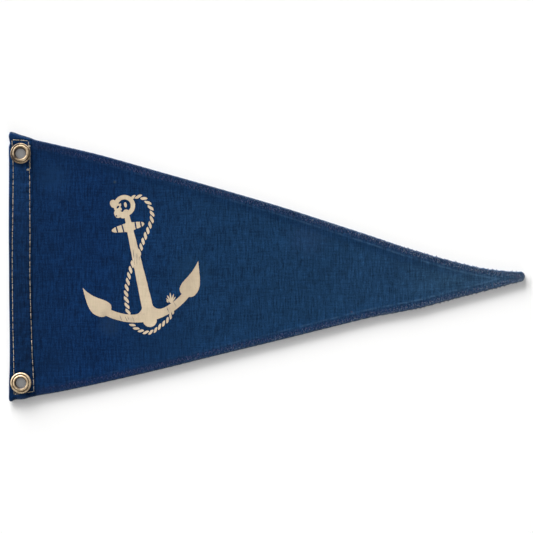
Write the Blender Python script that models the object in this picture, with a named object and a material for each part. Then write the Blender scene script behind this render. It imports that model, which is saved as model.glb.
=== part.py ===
"""Pennant flag: a triangular cotton pennant with a folded hoist heading and two set grommets, lying flat.

Metres, +Z up. X runs from the hoist to the fly end and Y up the hoist. The origin is under the middle of the
flag's box, on the surface that it lies on. Sizes below are in millimetres, apart from the colours.
"""

import math
from collections import namedtuple

import bmesh
import bpy
from mathutils import Vector

MM = 0.001

# Driving sizes of the cloth
FLY_LENGTH = 516.0
CLOTH_THICK = 1.2
HEM_THICK = 2.0
HEM_WIDTH = 8.5
HEM_SLOPE = 2.0
HEADING_WIDTH = 23.2
HEADING_THICK = 2.4
FOLD_RADIUS = HEADING_THICK / 2
FOLD_BLUNT = 0.6
EDGE_ROUND = 0.8
PIECE_GAP = 0.3

# Driving sizes of the grommets
HOLE_RADIUS = 5.2
BARREL_WALL = 0.45
FLANGE_RADIUS = 10.2
WASHER_RADIUS = 10.4
FLANGE_HIGH = 0.9
GRIPPED_CLOTH = 0.95
WASHER_LOW = 2.45

# Mesh fineness: even steps, and closer ones, in millimetres from the panel's tip and the heading's ends
PANEL_STEPS = 26
TIP_STEPS = (14.0, 8.0, 4.5, 2.2, 0.9, 0.0)
FIELD_ROWS = 5
HEADING_STEPS = 26
CORNER_STEPS = (0.0, 0.8, 2.2, 3.8, 6.0, 8.6, 11.3, 14.0, 16.7)
SPIN_STEPS = 36
SETTLING_PASSES = 5
CLOTH_SMOOTH_DEG = 40
METAL_SMOOTH_DEG = 35

# The two long edges: distance from the hoist, and each edge's height over the middle of the hoist.
EdgeStation = namedtuple("EdgeStation", "from_hoist upper lower")
LONG_EDGES = [
    EdgeStation(0.4, 133.9, -133.8),
    EdgeStation(1.7, 134.7, -134.7),
    EdgeStation(3.7, 134.7, -134.4),
    EdgeStation(6.2, 133.8, -132.9),
    EdgeStation(11.7, 131.6, -132.6),
    EdgeStation(15.7, 130.5, -132.2),
    EdgeStation(21.7, 128.6, -130.5),
    EdgeStation(26.7, 126.7, -129.4),
    EdgeStation(31.7, 125.5, -128.4),
    EdgeStation(51.7, 120.9, -125.0),
    EdgeStation(91.7, 111.4, -116.5),
    EdgeStation(151.7, 94.5, -102.7),
    EdgeStation(211.7, 77.5, -87.8),
    EdgeStation(271.7, 59.9, -73.2),
    EdgeStation(331.7, 40.6, -58.2),
    EdgeStation(361.7, 30.8, -50.9),
    EdgeStation(391.7, 20.6, -45.3),
    EdgeStation(411.7, 14.5, -41.2),
    EdgeStation(431.7, 8.7, -35.9),
    EdgeStation(451.7, 3.5, -30.7),
    EdgeStation(471.7, -1.1, -25.5),
    EdgeStation(491.7, -4.0, -20.2),
    EdgeStation(502.7, -4.7, -17.1),
    EdgeStation(509.7, -4.8, -15.5),
    EdgeStation(512.7, -4.9, -14.9),
    EdgeStation(514.3, -5.8, -14.0),
    EdgeStation(515.4, -7.1, -12.2),
    EdgeStation(516.0, -8.6, -10.2),
]

# The two upright edges: height over the middle, the fold's inset and the seam's distance from the hoist.
UprightStation = namedtuple("UprightStation", "height fold seam")
UPRIGHT_EDGES = [
    UprightStation(-134.7, 1.1, 27.3),
    UprightStation(-133.6, 0.4, 27.3),
    UprightStation(-131.3, 0.1, 27.2),
    UprightStation(-125.3, 0.2, 27.0),
    UprightStation(-113.3, 0.4, 26.4),
    UprightStation(-99.3, 0.8, 25.6),
    UprightStation(-73.3, 0.9, 24.5),
    UprightStation(-33.3, 0.4, 23.5),
    UprightStation(6.7, 0.2, 23.3),
    UprightStation(36.7, 0.0, 23.2),
    UprightStation(106.7, 0.2, 23.2),
    UprightStation(119.2, 0.1, 23.2),
    UprightStation(121.2, 0.5, 23.2),
    UprightStation(123.5, 1.15, 23.2),
    UprightStation(126.2, 0.65, 23.2),
    UprightStation(128.2, 0.25, 23.2),
    UprightStation(130.2, 0.0, 23.2),
    UprightStation(132.0, 0.2, 23.2),
    UprightStation(133.9, 0.8, 23.2),
]

# Places where the lying cloth stands a little off the surface: middle, reach to every side and rise.
Swell = namedtuple("Swell", "from_hoist height reach rise")
SWELLS = [
    Swell(70.0, 62.0, 42.0, 0.45),
    Swell(82.0, -58.0, 50.0, 0.35),
    Swell(175.0, 20.0, 46.0, 0.50),
    Swell(205.0, -48.0, 36.0, 0.30),
    Swell(285.0, 8.0, 44.0, 0.45),
    Swell(368.0, -12.0, 34.0, 0.35),
    Swell(440.0, -14.0, 26.0, 0.30),
]

# The grommets: where each one's middle is.
Grommet = namedtuple("Grommet", "name from_hoist height")
GROMMETS = [
    Grommet("upper", 11.9, 113.1),
    Grommet("lower", 12.3, -116.2),
]

# Finishes: colour in linear light, roughness and metallic value
Finish = namedtuple("Finish", "name colour roughness metallic")
BUNTING = Finish("navy_bunting", (0.011, 0.035, 0.096), 0.9, 0.0)
HEADING_CLOTH = Finish("navy_heading", (0.008, 0.028, 0.080), 0.9, 0.0)
BRASS = Finish("aged_brass", (0.62, 0.49, 0.31), 0.35, 1.0)


def smooth_value(stations, column, at):
    """A column of a table at any place, on a smooth curve through the rows."""
    places = [row[0] for row in stations]
    values = [getattr(row, column) for row in stations]
    last = len(places) - 1
    if at <= places[0]:
        return values[0]
    if at >= places[last]:
        return values[last]
    i = max(k for k in range(last) if places[k] <= at)
    span = places[i + 1] - places[i]
    slopes = []
    for k in (i, i + 1):
        low, high = max(k - 1, 0), min(k + 1, last)
        slopes.append((values[high] - values[low]) / (places[high] - places[low]))
    t = (at - places[i]) / span
    start = values[i] * (1 + 2 * t) * (1 - t) ** 2 + slopes[0] * span * t * (1 - t) ** 2
    end = values[i + 1] * t * t * (3 - 2 * t) + slopes[1] * span * t * t * (t - 1)
    return start + end


def upper_edge(from_hoist):
    return smooth_value(LONG_EDGES, "upper", from_hoist)


def lower_edge(from_hoist):
    return smooth_value(LONG_EDGES, "lower", from_hoist)


def fold_edge(height):
    return smooth_value(UPRIGHT_EDGES, "fold", height)


def seam_edge(height):
    return smooth_value(UPRIGHT_EDGES, "seam", height)


def soft_step(t):
    t = min(max(t, 0.0), 1.0)
    return t * t * (3 - 2 * t)


def in_frame(from_hoist, height, z):
    """A point of the flag, in metres in the model's own frame."""
    return Vector((from_hoist - FLY_LENGTH / 2, height, z)) * MM


def swell_rise(from_hoist, height):
    """How far the lying cloth stands off the surface at a place, by the swells around it."""
    rise = 0.0
    for swell in SWELLS:
        away = math.hypot(from_hoist - swell.from_hoist, height - swell.height)
        rise += swell.rise * soft_step(1 - away / swell.reach)
    return rise


def material_of(finish):
    found = bpy.data.materials.get(finish.name)
    if found:
        return found
    made = bpy.data.materials.new(finish.name)
    made.use_nodes = True
    shader = made.node_tree.nodes["Principled BSDF"]
    shader.inputs["Base Color"].default_value = (*finish.colour, 1.0)
    shader.inputs["Roughness"].default_value = finish.roughness
    shader.inputs["Metallic"].default_value = finish.metallic
    return made


def object_from(name, shape, finish, smooth_angle):
    """Turns a bmesh into a named object, shaded smooth up to an angle."""
    bmesh.ops.recalc_face_normals(shape, faces=shape.faces)
    mesh = bpy.data.meshes.new(name)
    shape.to_mesh(mesh)
    shape.free()
    mesh.shade_smooth()
    mesh.set_sharp_from_angle(angle=math.radians(smooth_angle))
    mesh.materials.append(material_of(finish))
    made = bpy.data.objects.new(name, mesh)
    bpy.context.collection.objects.link(made)
    return made


def sheet_between(columns, rows, place, face_heights):
    """A closed sheet from a grid: place gives a grid point on the flag, face_heights its lower and upper z."""
    shape = bmesh.new()
    bmesh.ops.create_grid(shape, x_segments=columns, y_segments=rows, size=0.5)
    shape.verts.ensure_lookup_table()
    spots = {}
    for vert in shape.verts:
        i = round((vert.co.x + 0.5) * columns)
        j = round((vert.co.y + 0.5) * rows)
        spots[vert.index] = place(i, j)
        vert.co = in_frame(*spots[vert.index], 0.0)
    original = list(shape.verts)
    extruded = bmesh.ops.extrude_face_region(shape, geom=list(shape.faces))
    raised = [part for part in extruded["geom"] if isinstance(part, bmesh.types.BMVert)]
    by_place = {tuple(round(c, 7) for c in vert.co.xy): vert for vert in raised}
    for vert in original:
        top = by_place[tuple(round(c, 7) for c in vert.co.xy)]
        low, high = face_heights(*spots[vert.index])
        vert.co.z = low * MM
        top.co.z = high * MM
    return shape


def hem_offsets(half_height):
    """The grid rows from a long edge inward: the edge, its rounding, and the hem's slope to the field."""
    offsets = [0.0, EDGE_ROUND, HEM_WIDTH - HEM_SLOPE / 2, HEM_WIDTH + HEM_SLOPE / 2]
    shrink = min(1.0, 0.9 * half_height / offsets[-1])
    return [offset * shrink for offset in offsets]


def panel_columns():
    """Shares of the way from the seam to the tip, close together where the tip is rounded."""
    length = FLY_LENGTH - HEADING_WIDTH
    near_tip = [1 - step / length for step in TIP_STEPS]
    return [near_tip[0] * k / PANEL_STEPS for k in range(PANEL_STEPS)] + near_tip


def panel_rows(from_hoist):
    """Heights of the panel's grid rows at a distance from the hoist, from the lower edge to the upper one."""
    low, high = lower_edge(from_hoist), upper_edge(from_hoist)
    offsets = hem_offsets((high - low) / 2)
    hem = offsets[-1]
    field_step = (high - low - 2 * hem) / (FIELD_ROWS + 1)
    rows = [low + offset for offset in offsets]
    rows += [low + hem + field_step * (k + 1) for k in range(FIELD_ROWS)]
    return rows + [high - offset for offset in reversed(offsets)]


def panel_place(column, row):
    """The place of a grid point of the panel, settled in a few passes because the seam leans a little."""
    share = panel_columns()[column]
    from_hoist = HEADING_WIDTH + (FLY_LENGTH - HEADING_WIDTH) * share
    for _ in range(SETTLING_PASSES):
        height = panel_rows(from_hoist)[row]
        seam = seam_edge(height) + PIECE_GAP
        from_hoist = seam + (FLY_LENGTH - seam) * share
    return from_hoist, height


def panel_faces(from_hoist, height):
    """The panel's lower and upper face: one layer in the field, two in the hems, rounded at the edge."""
    inside = min(upper_edge(from_hoist) - height, height - lower_edge(from_hoist), FLY_LENGTH - from_hoist)
    hem_share = 1 - soft_step((inside - HEM_WIDTH + HEM_SLOPE / 2) / HEM_SLOPE)
    thick = CLOTH_THICK + (HEM_THICK - CLOTH_THICK) * hem_share
    rounding = EDGE_ROUND * (1 - soft_step(inside / EDGE_ROUND))
    lift = swell_rise(from_hoist, height) * soft_step((inside - HEM_WIDTH) / HEM_WIDTH)
    return lift, lift + thick - rounding


def make_panel():
    columns = len(panel_columns()) - 1
    rows = len(panel_rows(HEADING_WIDTH)) - 1
    shape = sheet_between(columns, rows, panel_place, panel_faces)
    return object_from("panel", shape, BUNTING, CLOTH_SMOOTH_DEG)


def heading_columns():
    """Shares of the heading's width, close together at the hoist fold and at the seam."""
    fold = [0.0, FOLD_RADIUS / 4 / HEADING_WIDTH, FOLD_RADIUS / HEADING_WIDTH]
    return fold + [0.2, 0.5, 0.8, 1 - EDGE_ROUND / HEADING_WIDTH, 1.0]


def heading_rows():
    """Shares of the heading's height, close together in the two corners that stand proud."""
    length = upper_edge(HEADING_WIDTH / 2) - lower_edge(HEADING_WIDTH / 2)
    corner = [step / length for step in CORNER_STEPS]
    even = 1 - 2 * corner[-1]
    middle = [corner[-1] + even * k / HEADING_STEPS for k in range(1, HEADING_STEPS)]
    return corner + middle + [1 - share for share in reversed(corner)]


def heading_place(column, row):
    """The place of a grid point of the heading, settled in a few passes because all four edges lean."""
    across, up = heading_columns()[column], heading_rows()[row]
    from_hoist = HEADING_WIDTH * across
    for _ in range(SETTLING_PASSES):
        low, high = lower_edge(from_hoist), upper_edge(from_hoist)
        height = low + (high - low) * up
        fold, seam = fold_edge(height), seam_edge(height)
        from_hoist = fold + (seam - fold) * across
    return from_hoist, height


def heading_faces(from_hoist, height):
    """The heading's lower and upper face: a round fold at the hoist, and softened edges elsewhere."""
    from_fold = from_hoist - fold_edge(height)
    inside = min(
        seam_edge(height) - from_hoist,
        upper_edge(from_hoist) - height,
        height - lower_edge(from_hoist),
    )
    turn = min(max(1 - from_fold / FOLD_RADIUS, 0.0), 1.0)
    fold_drop = (FOLD_RADIUS - FOLD_BLUNT / 2) * (1 - math.sqrt(1 - turn * turn))
    rounding = EDGE_ROUND / 2 * (1 - soft_step(inside / EDGE_ROUND))
    return fold_drop, HEADING_THICK - max(fold_drop, rounding)


def grommet_cutter(grommet):
    """What a set grommet clears in the heading: the barrel's hole and the seats of flange and washer."""
    seat_low = FLANGE_HIGH + PIECE_GAP
    seat_high = seat_low + GRIPPED_CLOTH
    below, above = -HEADING_THICK, 2 * HEADING_THICK
    hole = HOLE_RADIUS + BARREL_WALL + PIECE_GAP
    profile = [
        (0.0, below),
        (FLANGE_RADIUS + PIECE_GAP, below),
        (FLANGE_RADIUS + PIECE_GAP, seat_low),
        (hole, seat_low),
        (hole, seat_high),
        (WASHER_RADIUS + PIECE_GAP, seat_high),
        (WASHER_RADIUS + PIECE_GAP, above),
        (0.0, above),
    ]
    shape = spun(profile, grommet, closed=False)
    cutter = object_from("seat_cutter_" + grommet.name, shape, BRASS, METAL_SMOOTH_DEG)
    cutter.hide_render = True
    cutter.display_type = "WIRE"
    return cutter


def make_heading():
    columns = len(heading_columns()) - 1
    rows = len(heading_rows()) - 1
    shape = sheet_between(columns, rows, heading_place, heading_faces)
    heading = object_from("heading", shape, HEADING_CLOTH, CLOTH_SMOOTH_DEG)
    for grommet in GROMMETS:
        cut = heading.modifiers.new("seat_" + grommet.name, "BOOLEAN")
        cut.operation = "DIFFERENCE"
        cut.solver = "EXACT"
        cut.object = grommet_cutter(grommet)
    return heading


def spun(profile, grommet, closed=True):
    """Turns a profile of radius and height pairs about a grommet's axis."""
    shape = bmesh.new()
    middle = in_frame(grommet.from_hoist, grommet.height, 0.0)
    points = [shape.verts.new(middle + Vector((radius, 0.0, z)) * MM) for radius, z in profile]
    edges = [shape.edges.new(pair) for pair in zip(points[:-1], points[1:])]
    if closed:
        edges.append(shape.edges.new((points[-1], points[0])))
    bmesh.ops.spin(
        shape,
        geom=points + edges,
        cent=middle,
        axis=(0.0, 0.0, 1.0),
        angle=math.tau,
        steps=SPIN_STEPS,
        use_merge=True,
    )
    bmesh.ops.remove_doubles(shape, verts=shape.verts, dist=0.001 * MM)
    return shape


def eyelet_profile():
    """The eyelet: a domed flange under the cloth, a barrel, and the barrel's end rolled over the washer."""
    outer = HOLE_RADIUS + BARREL_WALL
    return [
        (HOLE_RADIUS + 1.3, 0.0),
        (FLANGE_RADIUS - 0.9, 0.0),
        (FLANGE_RADIUS - 0.2, 0.25),
        (FLANGE_RADIUS, 0.6),
        (FLANGE_RADIUS - 0.2, FLANGE_HIGH),
        (FLANGE_RADIUS - 0.9, FLANGE_HIGH - 0.1),
        (outer + 0.5, FLANGE_HIGH - 0.1),
        (outer, FLANGE_HIGH + 0.2),
        (outer, WASHER_LOW + 0.6),
        (outer + 0.3, WASHER_LOW + 0.85),
        (HOLE_RADIUS + 2.1, WASHER_LOW + 0.8),
        (HOLE_RADIUS + 2.3, WASHER_LOW + 1.0),
        (HOLE_RADIUS + 1.9, WASHER_LOW + 1.3),
        (HOLE_RADIUS + 1.2, WASHER_LOW + 1.45),
        (HOLE_RADIUS + 0.5, WASHER_LOW + 1.3),
        (HOLE_RADIUS + 0.1, WASHER_LOW + 0.9),
        (HOLE_RADIUS, WASHER_LOW + 0.3),
        (HOLE_RADIUS, 1.1),
        (HOLE_RADIUS + 0.3, 0.4),
    ]


def washer_profile():
    """The washer on the cloth's face: a flat land under the roll, and a raised bead round its rim."""
    bore = HOLE_RADIUS + BARREL_WALL + PIECE_GAP
    return [
        (bore, WASHER_LOW),
        (WASHER_RADIUS - 0.3, WASHER_LOW),
        (WASHER_RADIUS, WASHER_LOW + 0.3),
        (WASHER_RADIUS - 0.2, WASHER_LOW + 0.8),
        (WASHER_RADIUS - 0.8, WASHER_LOW + 1.1),
        (WASHER_RADIUS - 1.5, WASHER_LOW + 1.0),
        (WASHER_RADIUS - 2.2, WASHER_LOW + 0.6),
        (WASHER_RADIUS - 2.8, WASHER_LOW + 0.45),
        (bore, WASHER_LOW + 0.45),
    ]


def clear_scene():
    for old in list(bpy.data.objects):
        bpy.data.objects.remove(old)


def main():
    clear_scene()
    make_panel()
    make_heading()
    for grommet in GROMMETS:
        eyelet = spun(eyelet_profile(), grommet)
        object_from("eyelet_" + grommet.name, eyelet, BRASS, METAL_SMOOTH_DEG)
        washer = spun(washer_profile(), grommet)
        object_from("washer_" + grommet.name, washer, BRASS, METAL_SMOOTH_DEG)


main()
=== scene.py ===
"""Pennant flag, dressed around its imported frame: navy cotton with turned hems, a folded heading with brass
grommets, tan and purple-grey stitching, and a cream anchor and rope printed on the face.

Sizes are in millimetres. The flag's own places are a distance from the hoist and a height over its middle.
"""

import math
from collections import namedtuple

import bmesh
import bpy
import numpy as np
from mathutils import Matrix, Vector
from mathutils.bvhtree import BVHTree
from mathutils.geometry import delaunay_2d_cdt

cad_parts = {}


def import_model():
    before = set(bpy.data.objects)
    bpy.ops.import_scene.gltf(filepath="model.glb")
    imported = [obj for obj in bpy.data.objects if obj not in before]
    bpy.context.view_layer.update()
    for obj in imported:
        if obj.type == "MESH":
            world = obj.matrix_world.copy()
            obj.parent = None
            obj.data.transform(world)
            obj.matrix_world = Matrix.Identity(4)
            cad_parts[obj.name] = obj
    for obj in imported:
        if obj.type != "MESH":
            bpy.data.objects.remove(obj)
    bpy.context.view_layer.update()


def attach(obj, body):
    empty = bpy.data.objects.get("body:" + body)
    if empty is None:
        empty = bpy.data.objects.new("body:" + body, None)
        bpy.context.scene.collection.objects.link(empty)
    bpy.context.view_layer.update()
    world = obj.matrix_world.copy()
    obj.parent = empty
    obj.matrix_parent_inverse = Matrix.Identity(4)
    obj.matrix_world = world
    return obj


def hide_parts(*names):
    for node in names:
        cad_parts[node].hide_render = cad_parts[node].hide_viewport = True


MM = 0.001
SEED = 41

# Driving sizes of the flag, as the frame has them
FLY_LENGTH = 516.0
HEADING_WIDTH = 23.2

# The panel's cloth: its own thickness, and the heights of its faces over the surface that it lies on
PANEL_CLOTH = 0.7
FIELD_TOP = 1.38
HEM_TOP = 1.76
HEM_UNDER = 0.14
HEM_TURN = 9.0
HEM_MIDDLE = (HEM_TOP + HEM_UNDER) / 2
FOLD_REACH = 0.8
HEM_STEP_SHARE = 0.12
HEM_STEP_AT = 8.0
HEM_STEP_LENGTH = 3.5
HEM_SLOPE_AT = 6.0
HEM_SLOPE_LENGTH = 20.0
FIELD_AT = 9.0
FIELD_FADE = 9.0
RIDGE_AT = 8.6
RIDGE_WIDTH = 1.1
RIDGE_HIGH = 0.02
BAND_PRESS = 0.03
GATHER_HIGH = 0.10
GATHER_LENGTH = 13.2
GATHER_REACH = 9.0
SEAM_FIELD_TOP = 1.82
SEAM_RISE_LENGTH = 18.0
SEAM_VALLEY = 0.34
SEAM_TUCK = 1.2
SEAM_CLEAR = 0.06

# The heading's cloth
HEADING_CLOTH = 0.42
HEADING_TOP = 2.24
HEADING_HUG = 0.34
HUG_REACH = 2.6
END_REACH = 2.6
HEADING_UNDER = 0.1
HEADING_FOLD = 1.1
LINE_WIDTH = 0.9
LINE_PRESS_TOP = 0.3
LINE_PRESS_UNDER = 0.55
HEADING_END_TOP = 1.75
HEADING_END_UNDER = 0.5
GRIP_TOP = 2.08
GRIP_UNDER = 1.0
GRIP_REACH = 10.6
GRIP_FADE = 2.6
CLOTH_HOLE = 6.0

# Stitching
SEAM_PITCH = 6.6
SEAM_THREAD = 0.19
SEAM_PLY_APART = 0.16
SEAM_PLY_TURNS = 2.6
SEAM_LIFT = 0.04
SEAM_SINK = 0.3
SECOND_PASS = 0.75
COVERED_REACH = 7.5
BARE_LEVEL = 1.2
HEM_PITCH = 4.0
HEM_THREAD = 0.19
HEM_SUNK = 0.07
HEM_HOLE_SUNK = 0.25

# Mesh fineness, and how often a place is fitted again to the edges that depend on it
FIT_ROUNDS = 6
STITCH_POINTS = 18
KNOT_POINTS = 22
LEG_POINTS = 7
TIP_POINTS = 6
PANEL_COLUMNS = 340
FIELD_ROWS = 84
HEADING_ROWS = 300
GROMMET_STEPS = 120

EdgeStation = namedtuple("EdgeStation", "from_hoist upper lower")
LONG_EDGES = [EdgeStation(*row) for row in (
    (0.4, 133.9, -133.8), (1.7, 134.7, -134.7), (3.7, 134.7, -134.4), (6.2, 134.0, -132.9),
    (11.7, 131.8, -132.6), (15.7, 130.7, -132.2), (21.7, 128.8, -130.5), (26.7, 126.9, -129.4),
    (31.7, 125.7, -128.4), (51.7, 121.2, -125.0), (91.7, 111.7, -116.5), (151.7, 94.8, -102.7),
    (211.7, 77.8, -87.8), (271.7, 60.2, -73.2), (331.7, 40.9, -58.2), (361.7, 31.1, -50.9),
    (391.7, 20.9, -45.3), (411.7, 14.8, -41.2), (431.7, 8.9, -35.9), (451.7, 3.7, -30.6),
    (471.7, -0.9, -25.5), (491.7, -3.7, -20.2), (502.7, -4.6, -17.1), (509.7, -4.8, -15.5),
    (512.7, -4.9, -14.9), (514.3, -5.8, -14.0), (515.4, -7.1, -12.2), (516.0, -8.6, -10.2),
)]

UprightStation = namedtuple("UprightStation", "height fold seam")
UPRIGHT_EDGES = [UprightStation(*row) for row in (
    (-134.7, 1.1, 27.3), (-133.6, 0.4, 27.3), (-131.3, 0.1, 27.2), (-125.3, 0.2, 27.0), (-113.3, 0.4, 26.4),
    (-99.3, 0.8, 25.6), (-73.3, 0.9, 24.5), (-33.3, 0.4, 23.5), (6.7, 0.2, 23.3), (36.7, 0.0, 23.2),
    (106.7, 0.2, 23.2), (119.2, 0.1, 23.2), (121.2, 0.5, 23.2), (123.5, 1.15, 23.2), (126.2, 0.65, 23.2),
    (128.2, 0.25, 23.2), (130.2, 0.0, 23.2), (132.0, 0.2, 23.2), (133.9, 0.8, 23.2),
)]

# Where the two upright stitch lines of the heading run
LineStation = namedtuple("LineStation", "height hoist_line fly_line")
HEADING_LINES = [LineStation(*row) for row in (
    (-127.5, 5.6, 25.2), (-110.0, 5.4, 24.7), (-90.0, 5.0, 23.7), (-60.0, 4.3, 22.6), (-30.0, 3.9, 21.7),
    (0.0, 3.7, 21.2), (30.0, 3.9, 21.4), (60.0, 4.3, 21.2), (100.0, 4.5, 20.9), (122.0, 3.7, 20.3),
    (127.0, 3.3, 19.6),
)]
BOX_TOP = (126.9, 125.7)
BOX_FOOT = (-127.8, -125.4)

# Where the lying cloth stands a little off the surface
Swell = namedtuple("Swell", "from_hoist height reach rise")
SWELLS = [Swell(*row) for row in (
    (70.0, 62.0, 42.0, 0.45), (82.0, -58.0, 50.0, 0.35), (175.0, 20.0, 46.0, 0.50),
    (205.0, -48.0, 36.0, 0.30), (285.0, 8.0, 44.0, 0.45), (368.0, -12.0, 34.0, 0.35),
    (440.0, -14.0, 26.0, 0.30),
)]

# The soft troughs that show in the lying cloth
Crease = namedtuple("Crease", "from_hoist height length lean width depth")
PANEL_CREASES = [Crease(*row) for row in (
    (54.0, -88.0, 52.0, -2.0, 3.2, 0.14), (44.0, -97.0, 34.0, 1.0, 2.6, 0.12),
    (52.0, 32.0, 50.0, 1.5, 3.0, 0.10), (42.0, 82.0, 30.0, -2.0, 2.6, 0.10),
    (58.0, 4.0, 36.0, 3.0, 3.0, 0.08), (131.0, -87.0, 22.0, 4.0, 2.8, 0.10),
    (250.0, 38.0, 60.0, -16.0, 4.0, 0.10), (350.0, -30.0, 50.0, 12.0, 3.5, 0.08),
)]
HEADING_CREASES = [Crease(*row) for row in (
    (13.0, 82.0, 18.0, 3.0, 3.0, 0.20), (12.0, 22.0, 20.0, -4.0, 4.0, 0.22),
    (13.0, 8.0, 18.0, 2.0, 3.0, 0.18), (13.0, -46.0, 20.0, 6.0, 3.5, 0.16),
    (14.0, -78.0, 20.0, -5.0, 4.0, 0.24), (14.0, -94.0, 18.0, 3.0, 3.0, 0.20),
)]

# Slow unevenness of the cloth: how long each wave is, its direction, half its height and where it starts
Wave = namedtuple("Wave", "length lean half_height start")
RUMPLES = [Wave(*row) for row in (
    (47.0, 12.0, 0.050, 0.4), (31.0, 101.0, 0.036, 2.1), (19.0, 64.0, 0.022, 4.0),
    (13.0, 148.0, 0.014, 1.3), (8.0, 13.0, 0.010, 5.2), (6.1, 170.0, 0.007, 3.3),
)]

# Each grommet's place, the radii of its hole and of its roll's crest and end, how deep the hole flares, the
# radius and height of the washer's bead, how narrow it is pressed across and upright, how far off its middle
# the roll is set, how strong the painted shade is that darkens it, most on its left side, and how soiled its
# groove and its rim are
Grommet = namedtuple(
    "Grommet", "name from_hoist height hole crest roll flare bead bead_top narrow off dull groove rim seed"
)
GROMMETS = [Grommet(*row) for row in (
    ("upper", 11.9, 113.1, 5.05, 7.15, 8.6, 1.7, 9.9, 3.1, (0.94, 0.985), (0.25, 0.4), 0.6, 1.0, 0.9, 0.6),
    ("lower", 12.3, -116.2, 5.15, 6.9, 7.9, 2.6, 9.4, 3.3, (0.985, 1.0), (0.0, 0.0), 0.15, 0.6, 0.2, 2.9),
)]


def curve_of(stations, column):
    """A table's column as a smooth curve of the table's first column, for arrays of places."""
    places = np.array([row[0] for row in stations], float)
    values = np.array([getattr(row, column) for row in stations], float)
    slopes = np.empty_like(values)
    slopes[1:-1] = (values[2:] - values[:-2]) / (places[2:] - places[:-2])
    slopes[0] = (values[1] - values[0]) / (places[1] - places[0])
    slopes[-1] = (values[-1] - values[-2]) / (places[-1] - places[-2])

    def curve(at):
        at = np.clip(at, places[0], places[-1])
        i = np.clip(np.searchsorted(places, at, side="right") - 1, 0, len(places) - 2)
        span = places[i + 1] - places[i]
        t = (at - places[i]) / span
        start = values[i] * (1 + 2 * t) * (1 - t) ** 2 + slopes[i] * span * t * (1 - t) ** 2
        end = values[i + 1] * t * t * (3 - 2 * t) + slopes[i + 1] * span * t * t * (t - 1)
        return start + end

    return curve


upper_edge = curve_of(LONG_EDGES, "upper")
lower_edge = curve_of(LONG_EDGES, "lower")
fold_edge = curve_of(UPRIGHT_EDGES, "fold")
seam_edge = curve_of(UPRIGHT_EDGES, "seam")
hoist_line = curve_of(HEADING_LINES, "hoist_line")
fly_line = curve_of(HEADING_LINES, "fly_line")


def soft_step(t):
    t = np.clip(t, 0.0, 1.0)
    return t * t * (3 - 2 * t)


def bell(t):
    return np.exp(-t * t)


def in_frame(from_hoist, height, z):
    """Places on the flag as an array of points in the frame, in metres."""
    return np.stack([from_hoist - FLY_LENGTH / 2, height, z], axis=-1) * MM


def grommet_middle(grommet):
    return Vector(in_frame(grommet.from_hoist, grommet.height, 0.0))


def rumple(from_hoist, height):
    rise = np.zeros_like(from_hoist)
    for wave in RUMPLES:
        lean = math.radians(wave.lean)
        along = from_hoist * math.cos(lean) + height * math.sin(lean)
        rise += wave.half_height * np.sin(math.tau * along / wave.length + wave.start)
    return rise


def crease_depth(creases, from_hoist, height):
    depth = np.zeros_like(from_hoist)
    for crease in creases:
        lean = math.radians(crease.lean)
        right, up = from_hoist - crease.from_hoist, height - crease.height
        along = right * math.cos(lean) + up * math.sin(lean)
        across = up * math.cos(lean) - right * math.sin(lean)
        fade = 1 - soft_step(np.abs(along) / (crease.length / 2))
        depth += crease.depth * bell(across / crease.width) * fade
    return depth


def swell_rise(from_hoist, height):
    rise = np.zeros_like(from_hoist)
    for swell in SWELLS:
        away = np.hypot(from_hoist - swell.from_hoist, height - swell.height)
        rise += swell.rise * soft_step(1 - away / swell.reach)
    return rise


def shade(mesh, smooth_deg=60):
    mesh.shade_smooth()
    mesh.set_sharp_from_angle(angle=math.radians(smooth_deg))


def linked(name, data):
    """A new object of some data, in the scene."""
    made = bpy.data.objects.new(name, data)
    bpy.context.scene.collection.objects.link(made)
    return made


def object_of(name, shape, material, smooth_deg=60):
    """Turns a bmesh into a finished object at the origin."""
    mesh = bpy.data.meshes.new(name)
    shape.to_mesh(mesh)
    shape.free()
    shade(mesh, smooth_deg)
    mesh.materials.append(material)
    return linked(name, mesh)


def apply_modifiers(piece):
    """Replaces a piece's mesh by the one that its modifiers make of it."""
    graph = bpy.context.evaluated_depsgraph_get()
    finished = bpy.data.meshes.new_from_object(piece.evaluated_get(graph))
    piece.modifiers.clear()
    piece.data = finished


def thicken(piece, thickness):
    """Gives a sheet its thickness, inward from its outer face, and closes its rim."""
    wall = piece.modifiers.new("thickness", "SOLIDIFY")
    wall.thickness = thickness * MM
    wall.offset = -1.0
    apply_modifiers(piece)
    shade(piece.data)


def grid_of(columns, rows, place):
    """An operator's grid with its points put in place by arrays of their column and row numbers."""
    shape = bmesh.new()
    bmesh.ops.create_grid(shape, x_segments=columns, y_segments=rows, size=0.5)
    flat = np.array([vert.co for vert in shape.verts])
    column = np.rint((flat[:, 0] + 0.5) * columns).astype(int)
    row = np.rint((flat[:, 1] + 0.5) * rows).astype(int)
    for vert, spot in zip(shape.verts, place(column, row)):
        vert.co = spot
    return shape


# The panel, one sheet whose long edges are turned under

SEAM_STEPS = (0.0, 0.5, 1.0, 1.4, 1.8, 2.3, 3.0, 3.9)
TIP_STEPS = (7.0, 5.6, 4.5, 3.6, 2.9, 2.3, 1.8, 1.3, 0.9, 0.5, 0.2, 0.0)
FACE_STEPS = (0.0, 0.9, 1.9, 3.0, 4.1, 5.2, 6.2, 7.0, 7.7, 8.3, 8.9, 9.8, 11.6, 14.6)
TURNED_SHARES = (1.0, 0.8, 0.5, 0.2)
FOLD_DEGREES = (-90, -54, -18, 18, 54)

PanelRow = namedtuple("PanelRow", "side layer at")


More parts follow.
